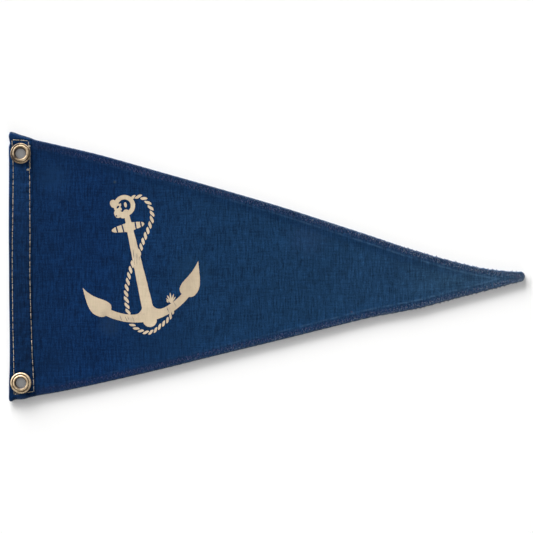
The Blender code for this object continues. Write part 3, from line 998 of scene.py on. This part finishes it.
# Fine cracks in the ink: from, to, and how wide
Crack = namedtuple("Crack", "start end wide")
CRACKS = [Crack(*row) for row in (
    ((-0.8, 71.0), (-2.9, 62.0), 0.40), ((-2.6, 60.4), (-3.4, 55.0), 0.34),
    ((1.8, 67.0), (-1.2, 54.0), 0.34), ((3.2, 62.5), (1.6, 57.0), 0.26), ((-28.8, 9.4), (-28.0, 3.4), 0.42),
    ((-24.0, 7.4), (-22.7, 1.6), 0.40), ((-21.4, 6.2), (-20.9, 2.6), 0.30),
    ((-16.8, 5.2), (-16.2, -0.4), 0.34), ((18.8, 7.4), (19.6, 1.2), 0.40),
    ((26.6, 10.4), (28.2, 4.6), 0.30),
)]


def table_value(table, at):
    return np.interp(at, [row[0] for row in table], [row[1] for row in table])


def ellipse(lobe, points=26):
    turn = np.linspace(0, math.tau, points, endpoint=False)
    lean = math.radians(lobe.lean)
    u, v = lobe.wide * np.cos(turn), lobe.tall * np.sin(turn)
    x = lobe.x + u * math.cos(lean) - v * math.sin(lean)
    y = lobe.y + u * math.sin(lean) + v * math.cos(lean)
    return np.column_stack([x, y])


def bar_between(start, end, wide, tip=0.3):
    """A thin bar that narrows at both of its ends."""
    start, end = np.array(start, float), np.array(end, float)
    run = (end - start) / np.linalg.norm(end - start)
    side = np.array([-run[1], run[0]])
    length = np.linalg.norm(end - start)
    shares = ((0.0, tip), (0.25, 0.8), (0.5, 1.0), (0.75, 0.85), (1.0, tip))
    left = [start + run * length * t + side * wide / 2 * w for t, w in shares]
    right = [start + run * length * t - side * wide / 2 * w for t, w in reversed(shares)]
    return np.array(left + right)


Place = namedtuple("Place", "at x y")


def smooth_path(points, pitch):
    """Points at an even pitch along a smooth curve through the given ones."""
    points = np.array(points, float)
    steps = np.concatenate([[0], np.cumsum(np.linalg.norm(np.diff(points, axis=0), axis=1))])
    rows = [Place(s, p[0], p[1]) for s, p in zip(steps, points)]
    along_x, along_y = curve_of(rows, "x"), curve_of(rows, "y")
    at = np.linspace(0, steps[-1], max(2, int(round(steps[-1] / pitch)) + 1))
    return np.column_stack([along_x(at), along_y(at)])


def rope_strands():
    """The rope's strands as slim leaves that cross it on the slant."""
    leaves = []
    for run, size in zip(ROPE_RUNS, RUN_SIZES):
        path = smooth_path(run, size * STRAND_PITCH)
        heading = np.gradient(path, axis=0)
        for k, (middle, toward) in enumerate(zip(path, heading)):
            angle = math.atan2(toward[1], toward[0]) + STRAND_LEAN
            t = np.linspace(-1, 1, 11)
            wide = size * STRAND_WIDE / 2 * (1 - np.abs(t) ** 2.4) ** 0.85
            bend = 0.35 * (t - t ** 3) * 2
            long = size * STRAND_LONG / 2 * (1 + 0.04 * math.sin(2.3 * k))
            upper = np.column_stack([long * t, wide + bend])
            lower = np.column_stack([long * t[::-1], -wide[::-1] + bend[::-1]])[1:-1]
            leaf = np.concatenate([upper, lower])
            turn = np.array([[math.cos(angle), math.sin(angle)], [-math.sin(angle), math.cos(angle)]])
            leaves.append(middle + leaf @ turn)
    return leaves


def shank_shape():
    y = np.linspace(SHANK_HALF_WIDTHS[0][0], SHANK_HALF_WIDTHS[-1][0], 60)
    half = table_value(SHANK_HALF_WIDTHS, y)
    return np.concatenate([np.column_stack([half, y]), np.column_stack([-half, y])[::-1]])


def arms_shape():
    """The two curved arms in one band, with fillets up to the shank."""
    turn = np.radians(np.linspace(-ARM_REACH_DEG, ARM_REACH_DEG, 70))
    thick = ARM_THICK / 2 * (1 - 0.08 * np.abs(np.sin(turn)))
    out = ARM_RADIUS + thick
    outer = np.column_stack([ARM_MIDDLE[0] + out * np.sin(turn), ARM_MIDDLE[1] - out * np.cos(turn)])
    inner_radius = ARM_RADIUS - thick
    inner_x = ARM_MIDDLE[0] + inner_radius * np.sin(turn)
    fillet = 7.0 * np.exp(-((np.abs(inner_x) - 5.0).clip(0) / 3.6) ** 1.2)
    inner = np.column_stack([inner_x, ARM_MIDDLE[1] - inner_radius * np.cos(turn) + fillet])
    return np.concatenate([outer, inner[::-1]])


def fluke_shape(side):
    base, tip = np.array(FLUKE_BASE), np.array(FLUKE_TIP)
    axis = (tip - base) / np.linalg.norm(tip - base)
    across = np.array([axis[1], -axis[0]])
    u = np.concatenate([np.linspace(FLUKE_WIDTHS[0][0], -1, 10), np.linspace(0, FLUKE_LENGTH, 40)])
    half = table_value(FLUKE_WIDTHS, u)
    bow = (FLUKE_BOW - 0.5 * side) * np.sin(np.clip(u / FLUKE_LENGTH, 0, 1) * math.pi)
    u = np.where(u > 0, u * (1.0 if side > 0 else LEFT_FLUKE_LENGTH), u)
    edge = np.concatenate([
        base + np.outer(u, axis) + np.outer(half + bow, across),
        (base + np.outer(u, axis) + np.outer(-half + bow, across))[::-1],
    ])
    return edge * np.array([side, 1.0])


def stock_shape():
    """The stock: a bar across, thick at the shank and tapered to rounded ends."""
    x = STOCK_REACH * np.sin(np.linspace(-math.pi / 2, math.pi / 2, 41))
    share = np.abs(x) / STOCK_REACH
    half = (4.6 - 2.4 * share) * np.sqrt(np.clip(1 - share ** 9, 0, 1))
    upper = np.column_stack([STOCK_MIDDLE[0] + x, STOCK_MIDDLE[1] + half])
    lower = np.column_stack([STOCK_MIDDLE[0] + x, STOCK_MIDDLE[1] - half])[::-1][1:-1]
    return np.concatenate([upper, lower])


def on_anchor(x, y):
    """A place in the anchor's frame as its distance from the hoist and its height on the flag."""
    from_hoist = ANCHOR_FOOT[0] + x * math.cos(ANCHOR_TILT) - y * math.sin(ANCHOR_TILT)
    return from_hoist, ANCHOR_FOOT[1] + x * math.sin(ANCHOR_TILT) + y * math.cos(ANCHOR_TILT)


def tuft_spike(degrees, length, wide):
    lean = math.radians(degrees)
    end = (TUFT_FOOT[0] + length * math.cos(lean), TUFT_FOOT[1] + length * math.sin(lean))
    return bar_between(TUFT_FOOT, end, wide, tip=0.12)


def stock_stripe(x):
    slant = 0.35 * np.sign(x)
    return bar_between((x - slant, STRIPE_REACH[0]), (x + slant, STRIPE_REACH[1]), STRIPE_WIDE, tip=1.0)


def circle(radius, points):
    return ellipse(Lobe(*RING_MIDDLE, radius, radius, 0.0), points)


def print_shapes():
    """All shapes of the print as (is it ink, outline), later ones over earlier ones."""
    anchor = [arms_shape(), ellipse(CROWN), fluke_shape(-1), fluke_shape(1), shank_shape(), stock_shape()]
    layers = [
        (True, rope_strands()),
        (True, [tuft_spike(*spike) for spike in TUFT_SPIKES]),
        (True, [ellipse(lobe) for lobe in TUFT_LOBES]),
        (True, anchor + [ellipse(BOSS)]),
        (False, [stock_stripe(x) for x in STOCK_STRIPES]),
        (True, [circle(RING_OUTER, 60)]),
        (False, [circle(RING_OUTER - RING_BAR, 44)]),
        (True, [ellipse(lobe) for lobe in [EYE] + HITCH_LOBES]),
        (False, [ellipse(lobe, 14) for lobe in HITCH_GAPS]),
        (True, [ellipse(RING_DROP)]),
        (False, [bar_between(*crack) for crack in CRACKS]),
    ]
    return [(ink, outline) for ink, outlines in layers for outline in outlines]


def roughened(outline, random):
    """An outline with the small waver that ink gets on a weave."""
    return outline + random.normal(0, PRINT_WAVER, outline.shape)


def covers(outline, places):
    """Which of many places an outline goes round, by how often a level line from each crosses it."""
    inside = np.zeros(len(places), bool)
    for (x1, y1), (x2, y2) in zip(outline, np.roll(outline, -1, axis=0)):
        spans = (y1 > places[:, 1]) != (y2 > places[:, 1])
        rise = y2 - y1 if y2 != y1 else 1.0
        crossing = x1 + (places[:, 1] - y1) * (x2 - x1) / rise
        inside ^= spans & (places[:, 0] < crossing)
    return inside


def film_faces(shapes):
    """The film's flat points, of the outlines and of a grid between them, and its faces that are ink."""
    everything = np.concatenate([outline for _, outline in shapes])
    low, high = everything.min(axis=0), everything.max(axis=0)
    spots, borders = [], []
    for _, outline in shapes:
        start, count = len(spots), len(outline)
        borders += [(start + k, start + (k + 1) % count) for k in range(count)]
        spots += [Vector(point) for point in outline]
    for x in np.arange(low[0], high[0], FILM_GRID):
        spots += [Vector((x, y)) for y in np.arange(low[1], high[1], FILM_GRID)]
    verts, _, faces, _, _, _ = delaunay_2d_cdt(spots, borders, [], 0, 1e-5, False)
    flat = np.array([tuple(vert) for vert in verts])
    middles = flat[np.array(faces)].mean(axis=1)
    inked = np.zeros(len(faces), bool)
    for ink, outline in shapes:
        inked[covers(outline, middles)] = ink
    return verts, [face for face, ink in zip(faces, inked) if ink]


def make_print(tree, material):
    random = np.random.default_rng(SEED + 2)
    spots, faces = film_faces([(ink, roughened(outline, random)) for ink, outline in print_shapes()])
    used = sorted({i for face in faces for i in face})
    number = {old: new for new, old in enumerate(used)}
    points = []
    for i in used:
        from_hoist, height = on_anchor(*spots[i])
        level = cloth_level(tree, from_hoist, height, 1) + FILM_LIFT
        points.append(in_frame(from_hoist, height, level))
    mesh = bpy.data.meshes.new("print_film")
    mesh.from_pydata(points, [], [[number[i] for i in face] for face in faces])
    shape = bmesh.new()
    shape.from_mesh(mesh)
    bpy.data.meshes.remove(mesh)
    down = [face for face in shape.faces if face.normal.z < 0]
    bmesh.ops.reverse_faces(shape, faces=down)
    film = object_of("print_film", shape, material)
    thicken(film, FILM_THICK)
    return film


# Materials, all read in the object's own metres


def linear(red, green, blue):
    """A display colour from 0 to 255 as the shader's linear colour."""
    shares = [value / 255 for value in (red, green, blue)]
    return [s / 12.92 if s <= 0.04045 else ((s + 0.055) / 1.055) ** 2.4 for s in shares] + [1.0]


class Tree:
    """A material's nodes; each method returns the output socket of what it adds."""

    def __init__(self, name):
        self.material = bpy.data.materials.new(name)
        self.material.use_nodes = True
        self.nodes = self.material.node_tree.nodes
        self.links = self.material.node_tree.links

    def feed(self, node, inputs):
        """Sets a node's inputs to constants, or links them to sockets."""
        for entry, value in inputs.items():
            if isinstance(value, bpy.types.NodeSocket):
                self.links.new(value, node.inputs[entry])
            else:
                node.inputs[entry].default_value = value

    def add(self, kind, inputs, output, **values):
        node = self.nodes.new(kind)
        for key, value in values.items():
            setattr(node, key, value)
        self.feed(node, inputs)
        return node.outputs[output]

    def finished(self, inputs):
        """The material, once its shader has these inputs."""
        self.feed(self.nodes["Principled BSDF"], inputs)
        return self.material

    def place(self):
        return self.add("ShaderNodeTexCoord", {}, "Object")

    def along(self, axis):
        return self.add("ShaderNodeSeparateXYZ", {"Vector": self.place()}, axis)

    def stored(self, name):
        return self.add("ShaderNodeAttribute", {}, "Fac", attribute_name=name)

    def noise(self, scale, detail, roughness, stretch=None):
        """Noise over the object's place, drawn out along an axis where stretch is given."""
        place = self.place()
        if stretch:
            place = self.add("ShaderNodeMapping", {"Scale": stretch, "Vector": place}, "Vector")
        inputs = {"Scale": scale, "Detail": detail, "Roughness": roughness, "Vector": place}
        return self.add("ShaderNodeTexNoise", inputs, "Fac")

    def bands(self, direction, pitch_mm, distortion):
        """Soft ridges across one axis at a pitch in millimetres."""
        scale = math.tau / (20 * pitch_mm * MM)
        inputs = {"Scale": scale, "Distortion": distortion, "Detail": 1.0, "Vector": self.place()}
        return self.add("ShaderNodeTexWave", inputs, "Fac", wave_type="BANDS", bands_direction=direction)

    def ramp(self, source, stops):
        colour = self.add("ShaderNodeValToRGB", {"Fac": source}, "Color")
        elements = colour.node.color_ramp.elements
        while len(elements) < len(stops):
            elements.new(0.5)
        for element, (position, tone) in zip(elements, stops):
            element.position = position
            element.color = tone
        return colour

    def reach(self, source, low, high, to_low=0.0, to_high=1.0):
        """A value that goes softly from to_low where the source is low to to_high where it is high."""
        inputs = {"Value": source, "From Min": low, "From Max": high, "To Min": to_low, "To Max": to_high}
        return self.add("ShaderNodeMapRange", inputs, "Result", interpolation_type="SMOOTHSTEP")

    def math(self, operation, *values, **settings):
        return self.add("ShaderNodeMath", dict(enumerate(values)), "Value", operation=operation, **settings)

    def times(self, first, second):
        return self.math("MULTIPLY", first, second)

    def blend(self, share, first, second, kind="MIX"):
        inputs = {0: share, 6: first, 7: second}
        return self.add("ShaderNodeMix", inputs, "Result", data_type="RGBA", blend_type=kind)

    def bump(self, height, distance_mm, strength, under=None):
        inputs = {"Height": height, "Distance": distance_mm * MM, "Strength": strength}
        if under is not None:
            inputs["Normal"] = under
        return self.add("ShaderNodeBump", inputs, "Normal")


WEAVE_PITCH = 0.8
WEAVE_HIGH = 0.09
WEAVE_HIGH_UNDER_INK = 0.07

# Uneven yarns, one row for each way of the weave: how the noise is drawn out, how much the tone varies,
# and the share of the weave's height that they stand out by
Slub = namedtuple("Slub", "stretch tone relief")
SLUBS = [Slub(*row) for row in (
    ((640.0, 72.0, 60.0), 0.46, 1.0), ((60.0, 560.0, 60.0), 0.24, 0.5),
)]

Stain = namedtuple("Stain", "from_hoist height reach colour strength")
# Stains on the panel, and one patch of painted shade: the dark patch at (48, -96) stands for the shade in
# the creases there
PANEL_STAINS_AND_PAINTED_SHADE = [Stain(*row) for row in (
    (106.0, 84.7, 2.2, (60, 70, 60), 0.5), (343.0, -45.3, 1.8, (80, 66, 70), 0.6),
    (101.0, -58.3, 16.0, (34, 56, 82), 0.3), (182.0, -6.0, 26.0, (30, 62, 90), 0.22),
    (300.0, 30.0, 30.0, (42, 62, 96), 0.18), (42.0, 90.0, 26.0, (20, 50, 86), 0.4),
    (48.0, -96.0, 22.0, (8, 30, 58), 0.35), (160.0, -80.0, 50.0, (8, 34, 62), 0.3),
    (509.0, -9.6, 3.2, (84, 74, 94), 0.6), (517.0, -9.6, 3.6, (120, 128, 142), 0.7),
)]
# Stains on the heading, and one patch of painted light: the lighter blue patch at its foot, at (13, -131)
HEADING_STAINS_AND_PAINTED_LIGHT = [Stain(*row) for row in (
    (5.0, 134.3, 2.4, (120, 130, 130), 0.6), (11.0, 132.4, 1.2, (100, 112, 120), 0.5),
    (13.0, -131.0, 9.0, (40, 66, 106), 0.5),
)]
# Grey smudges in the ink, in the anchor's frame
INK_SMUDGES = [Stain(*row) for row in (
    (-28.4, 6.4, 3.4, (158, 150, 142), 0.35), (-19.2, 3.4, 4.4, (160, 152, 142), 0.4),
    (19.4, 4.3, 3.6, (160, 152, 142), 0.35), (27.3, 7.4, 2.6, (162, 154, 142), 0.3),
    (-0.6, 64.0, 3.4, (164, 156, 144), 0.4), (-43.0, 15.0, 5.0, (174, 158, 136), 0.5),
    (45.0, 20.0, 5.0, (172, 156, 134), 0.5), (50.0, 30.0, 4.0, (176, 160, 138), 0.4),
    (-40.0, 16.0, 46.0, (166, 150, 128), 0.28), (42.0, 18.0, 46.0, (162, 146, 124), 0.4),
)]

# The dye along an axis of the frame, from stops of (distance from the start, display colour)
Dye = namedtuple("Dye", "axis start length stops")
PANEL_DYE = Dye("X", -FLY_LENGTH / 2, FLY_LENGTH, [
    (23.0, (8, 35, 69)), (90.0, (7, 35, 71)), (190.0, (16, 44, 75)), (300.0, (19, 47, 76)),
    (380.0, (23, 51, 80)), (430.0, (30, 57, 83)), (490.0, (42, 68, 92)), (512.0, (50, 74, 97)),
])
HEADING_DYE = Dye("Y", -136.0, 272.0, [
    (0.0, (7, 32, 63)), (150.0, (8, 33, 64)), (186.0, (11, 38, 72)), (225.0, (14, 42, 77)),
    (272.0, (12, 40, 74)),
])

# How far inside the edge the hems' inner border lies, and the darker strip of cloth beside it
HEM_LINE = 8.4
STRIP_MIDDLE = 11.8


def weave_bump(tree, high_mm):
    """Plain weave: over-and-under bumps with the slubs of uneven yarn."""
    warp, weft = [centred(tree, tree.bands(axis, WEAVE_PITCH, 0.4)) for axis in "XY"]
    weave = tree.bump(tree.times(warp, weft), high_mm, 0.8)
    for slub in SLUBS:
        yarns = tree.noise(1.0, 3.0, 0.6, slub.stretch)
        weave = tree.bump(yarns, high_mm * slub.relief, 0.6, under=weave)
    return weave


def centred(tree, wave):
    """A wave from 0 to 1 as one from -1 to 1."""
    return tree.math("SUBTRACT", tree.times(wave, 2.0), 1.0)


def fibre_bump(tree):
    return tree.bump(tree.noise(5200.0, 2.0, 0.6), 0.05, 0.7)


def toned(tree, colour, source, strength):
    """A colour made lighter and darker by a noise."""
    tone = tree.ramp(source, [(0.3, [1 - strength] * 3 + [1]), (0.7, [1 + strength] * 3 + [1])])
    return tree.blend(1.0, colour, tone, "MULTIPLY")


def slub_tone(tree, colour, strength):
    """Yarns a little lighter or darker than their neighbours, both ways of the weave."""
    for slub in SLUBS:
        colour = toned(tree, colour, tree.noise(1.0, 4.0, 0.65, slub.stretch), slub.tone * strength)
    return colour


def dyed(tree, dye):
    end = (dye.start + dye.length) * MM
    inputs = {"Value": tree.along(dye.axis), "From Min": dye.start * MM, "From Max": end}
    run = tree.add("ShaderNodeMapRange", inputs, "Result")
    return tree.ramp(run, [(at / dye.length, linear(*colour)) for at, colour in dye.stops])


def stained(tree, colour, stain):
    """A colour with a soft, uneven spot of another at a place on the flag."""
    reach = stain.reach * MM
    middle = in_frame(stain.from_hoist, stain.height, 1.0)
    away = tree.add("ShaderNodeVectorMath", {0: tree.place(), 1: middle}, "Value", operation="DISTANCE")
    wander = tree.math("MULTIPLY_ADD", tree.noise(260.0, 3.0, 0.6), 0.9 * reach, away)
    share = tree.reach(wander, 1.45 * reach, 0.55 * reach, 0.0, stain.strength)
    return tree.blend(share, colour, linear(*stain.colour))


def near(tree, inside, line, reach, core, strength):
    """A soft band round a distance inside the edge."""
    away = tree.math("ABSOLUTE", tree.math("SUBTRACT", inside, line))
    return tree.reach(away, reach, core, 0.0, strength)


def cloth_material(name, dye, stains_and_painted_light, has_hems):
    """Dyed plain-woven cotton, mottled, stained and rubbed pale along its edges, with a little painted shade
    and painted light among its stains.
    """
    tree = Tree(name)
    colour = toned(tree, dyed(tree, dye), tree.noise(38.0, 5.0, 0.6), 0.06)
    colour = slub_tone(tree, colour, 1.0)
    colour = toned(tree, colour, tree.noise(760.0, 3.0, 0.7), 0.34)
    # Stains, with the patches of painted shade and painted light among them
    for stain in stains_and_painted_light:
        colour = stained(tree, colour, stain)
    inside = tree.stored("edge_inside")
    if has_hems:
        colour = worn_hem(tree, colour, inside)
    return tree.finished({
        "Base Color": worn_rim(tree, colour, inside), "Normal": weave_bump(tree, WEAVE_HIGH),
        "Roughness": 0.95, "Specular IOR Level": 0.04,
        "Sheen Weight": 0.04, "Sheen Roughness": 0.5, "Sheen Tint": linear(110, 150, 210),
    })


def worn_hem(tree, colour, inside):
    """The hems' tone: a little dull, speckled, and rubbed pale along their inner edge towards the tip, with
    a darker strip of cloth beside them, most beside the upper hem.
    """
    strip = near(tree, inside, STRIP_MIDDLE, 5.5, 0.8, 0.36)
    on_upper = tree.reach(tree.along("Y"), -0.03, 0.015, 0.35, 1.0)
    colour = tree.blend(tree.times(strip, on_upper), colour, linear(6, 32, 64))
    line = near(tree, inside, HEM_LINE, 1.5, 0.2, 1.0)
    toward_tip = tree.reach(tree.along("X"), -0.12, 0.19, 0.06, 0.3)
    broken = tree.reach(tree.noise(130.0, 4.0, 0.7), 0.4, 0.6, 0.1, 1.0)
    colour = tree.blend(tree.times(tree.times(line, toward_tip), broken), colour, linear(72, 102, 132))
    hem = tree.reach(inside, 8.6, 6.6)
    colour = tree.blend(tree.times(hem, 0.12), colour, linear(38, 49, 79))
    dark = tree.reach(tree.noise(560.0, 3.0, 0.6), 0.46, 0.58, 0.0, 0.55)
    colour = tree.blend(tree.times(hem, dark), colour, linear(9, 27, 58))
    specks = tree.reach(tree.noise(760.0, 3.0, 0.6), 0.58, 0.65)
    grown = tree.reach(tree.along("X"), -0.2, 0.24, 0.12, 1.0)
    on_hem = tree.reach(inside, 7.5, 1.0, 0.0, 0.9)
    return tree.blend(tree.times(tree.times(specks, grown), on_hem), colour, linear(130, 138, 142))


def worn_rim(tree, colour, inside):
    """The folded edges rubbed pale, most of all towards the tip and at the heading's upper end."""
    rim = tree.reach(inside, 2.6, 0.4)
    rubbed = tree.reach(tree.noise(420.0, 3.0, 0.6), 0.36, 0.64, 0.35, 1.0)
    grown = tree.reach(tree.along("X"), -0.235, 0.2, 0.28, 0.6)
    return tree.blend(tree.times(tree.times(rim, rubbed), grown), colour, linear(84, 98, 116))


def seam_thread_material():
    """Tan cotton thread, patchy and a little greyed."""
    tree = Tree("tan_thread")
    share = tree.reach(tree.noise(330.0, 3.0, 0.6), 0.35, 0.65, 0.0, 0.9)
    return tree.finished({
        "Base Color": tree.blend(share, linear(124, 118, 106), linear(186, 174, 154)), "Roughness": 0.85,
        "Specular IOR Level": 0.15, "Sheen Weight": 0.1, "Normal": fibre_bump(tree),
    })


def hem_thread_material():
    """Faded purple-grey thread, nearly lost in the cloth at the hoist and rubbed pale towards the tip."""
    tree = Tree("hem_thread")
    patchy = tree.reach(tree.noise(420.0, 4.0, 0.7), 0.42, 0.56)
    seen = tree.reach(tree.along("X"), -0.225, -0.17, 0.35, 1.0)
    colour = tree.blend(tree.times(patchy, seen), linear(16, 36, 70), linear(80, 78, 110))
    pale = tree.reach(tree.noise(900.0, 2.0, 0.5), 0.57, 0.63)
    toward_tip = tree.reach(tree.along("X"), 0.02, 0.2, 0.0, 0.6)
    colour = tree.blend(tree.times(pale, toward_tip), colour, linear(150, 154, 156))
    return tree.finished({
        "Base Color": colour, "Roughness": 0.9, "Specular IOR Level": 0.1, "Normal": fibre_bump(tree),
    })


def brass_material():
    """Aged brass, darker and duller where it is soiled and where shade is painted in, down in the holes and
    on one side of each ring.
    """
    tree = Tree("aged_brass")
    tarnish = tree.reach(tree.noise(420.0, 5.0, 0.65), 0.42, 0.72, 0.0, 0.45)
    # The stored value holds the soiling in the groove and at the rim, and the painted shade down in the
    # holes and on the left sides
    dark = tree.math("ADD", tree.stored("darkening"), tarnish, use_clamp=True)
    bright, old, black = linear(212, 192, 162), linear(158, 138, 110), linear(56, 43, 32)
    scratches = tree.bump(tree.noise(1.0, 2.0, 0.5, (5200.0, 420.0, 900.0)), 0.02, 0.35)
    return tree.finished({
        "Base Color": tree.ramp(dark, [(0.0, bright), (0.45, old), (1.0, black)]),
        "Metallic": tree.reach(dark, 0.4, 1.0, 0.65, 0.25),
        "Roughness": tree.reach(tree.noise(900.0, 4.0, 0.7), 0.3, 0.7, 0.56, 0.72),
        "Normal": tree.bump(tree.noise(1500.0, 3.0, 0.6), 0.03, 0.4, under=scratches),
    })


def ink_material():
    """Cream ink, mottled, smudged, and worn through in specks where it is thin."""
    tree = Tree("cream_ink")
    dull, clear = linear(183, 167, 143), linear(200, 184, 158)
    colour = slub_tone(tree, tree.ramp(tree.noise(34.0, 5.0, 0.6), [(0.3, dull), (0.7, clear)]), 0.17)
    for smudge in INK_SMUDGES:
        from_hoist, height = on_anchor(smudge.from_hoist, smudge.height)
        colour = stained(tree, colour, smudge._replace(from_hoist=from_hoist, height=height))
    thin = tree.reach(tree.noise(110.0, 4.0, 0.6), 0.46, 0.68, 0.0, 0.35)
    open_weave = tree.reach(tree.noise(1300.0, 2.0, 0.6), 0.52, 0.66)
    colour = tree.blend(tree.times(thin, open_weave), colour, linear(92, 98, 112))
    return tree.finished({
        "Base Color": colour, "Roughness": 0.9, "Specular IOR Level": 0.12,
        "Normal": weave_bump(tree, WEAVE_HIGH_UNDER_INK),
    })


def floor_material():
    tone = [FLOOR_TONE] * 3 + [1.0]
    return Tree("white_table").finished({"Base Color": tone, "Roughness": 0.95, "Specular IOR Level": 0.05})


# The stage: a white table, the light and the camera

LENS_LENGTH = 100.0
SENSOR_WIDTH = 36.0
CAMERA_HIGH = 1.4816
CAMERA_AT = (-0.27, 0.20)
Lamp = namedtuple("Lamp", "name strength angle elevation turn")
LAMPS = [Lamp(*row) for row in (
    ("key", 5.8, 10.0, 7.2, 188.0), ("key_left", 6.2, 11.0, 6.8, 210.0),
    ("key_wide", 4.6, 12.0, 6.4, 230.0), ("key_side", 1.6, 12.0, 6.4, 252.0),
    ("high_key", 0.9, 24.0, 17.0, 205.0), ("fill", 2.0, 16.0, 7.0, 10.0),
)]
LAMP_COLOUR = (1.0, 0.995, 0.988)
SKY_STRENGTH = 0.385
SKY_LOW = (0.62, 0.63, 0.65, 1.0)
SKY_HIGH = (1.0, 1.0, 1.0, 1.0)
TABLE_SIZE = 15.0
FLOOR_TONE = 0.857


def add_lamp(lamp):
    """A far soft lamp at an elevation, shining from the side that its turn gives."""
    light = bpy.data.lights.new(lamp.name, "SUN")
    light.energy = lamp.strength
    light.angle = math.radians(lamp.angle)
    light.color = LAMP_COLOUR
    placed = linked(lamp.name, light)
    placed.rotation_euler = (math.radians(90.0 - lamp.elevation), 0.0, math.radians(lamp.turn))


def make_stage():
    shape = bmesh.new()
    bmesh.ops.create_grid(shape, x_segments=1, y_segments=1, size=TABLE_SIZE)
    floor = object_of("table", shape, floor_material())
    scene = bpy.context.scene
    lens = bpy.data.cameras.new("camera")
    lens.lens = LENS_LENGTH
    lens.sensor_width = SENSOR_WIDTH
    scene.camera = linked("camera", lens)
    scene.camera.location = (CAMERA_AT[0] * MM, CAMERA_AT[1] * MM, CAMERA_HIGH)
    for lamp in LAMPS:
        add_lamp(lamp)
    world = bpy.data.worlds.new("studio")
    scene.world = world
    world.use_nodes = True
    nodes, links = world.node_tree.nodes, world.node_tree.links
    sky = nodes["Background"]
    direction = nodes.new("ShaderNodeTexCoord")
    apart = nodes.new("ShaderNodeSeparateXYZ")
    links.new(direction.outputs["Generated"], apart.inputs["Vector"])
    tone = nodes.new("ShaderNodeValToRGB")
    for element, position, colour in zip(tone.color_ramp.elements, (0.0, 0.8), (SKY_LOW, SKY_HIGH)):
        element.position = position
        element.color = colour
    links.new(apart.outputs["Z"], tone.inputs["Fac"])
    links.new(tone.outputs["Color"], sky.inputs["Color"])
    sky.inputs["Strength"].default_value = SKY_STRENGTH
    scene.view_settings.view_transform = "Standard"


def main():
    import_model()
    panel = make_panel(cloth_material("navy_cotton", PANEL_DYE, PANEL_STAINS_AND_PAINTED_SHADE, True))
    heading = make_heading(cloth_material("navy_heading", HEADING_DYE, HEADING_STAINS_AND_PAINTED_LIGHT, False))
    cloth = tree_of([panel, heading])
    tan = seam_thread_material()
    purple = hem_thread_material()
    seam_front = make_heading_stitches(cloth, tan, 1, "seam_stitches_face")
    seam_back = make_heading_stitches(cloth, tan, -1, "seam_stitches_back")
    hem_front = make_hem_stitches(cloth, purple, 1, "hem_stitches_face")
    hem_back = make_hem_stitches(cloth, purple, -1, "hem_stitches_back")
    film = make_print(tree_of([panel]), ink_material())
    brass = brass_material()
    for grommet in GROMMETS:
        for kind, profile in (("eyelet", eyelet_profile), ("washer", washer_profile)):
            ring = make_ring(kind + "_brass_" + grommet.name, profile(grommet), grommet, brass)
            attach(ring, "root")
            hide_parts(kind + "_" + grommet.name)
    slots = [
        (panel, "bunting"), (heading, "heading_cloth"),
        (seam_front, "seam_thread"), (seam_back, "seam_thread"),
        (hem_front, "hem_thread"), (hem_back, "hem_thread"), (film, "print_ink"),
    ]
    for piece, slot in slots:
        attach(piece, "root")
    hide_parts("panel")
    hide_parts("heading")
    make_stage()


main()
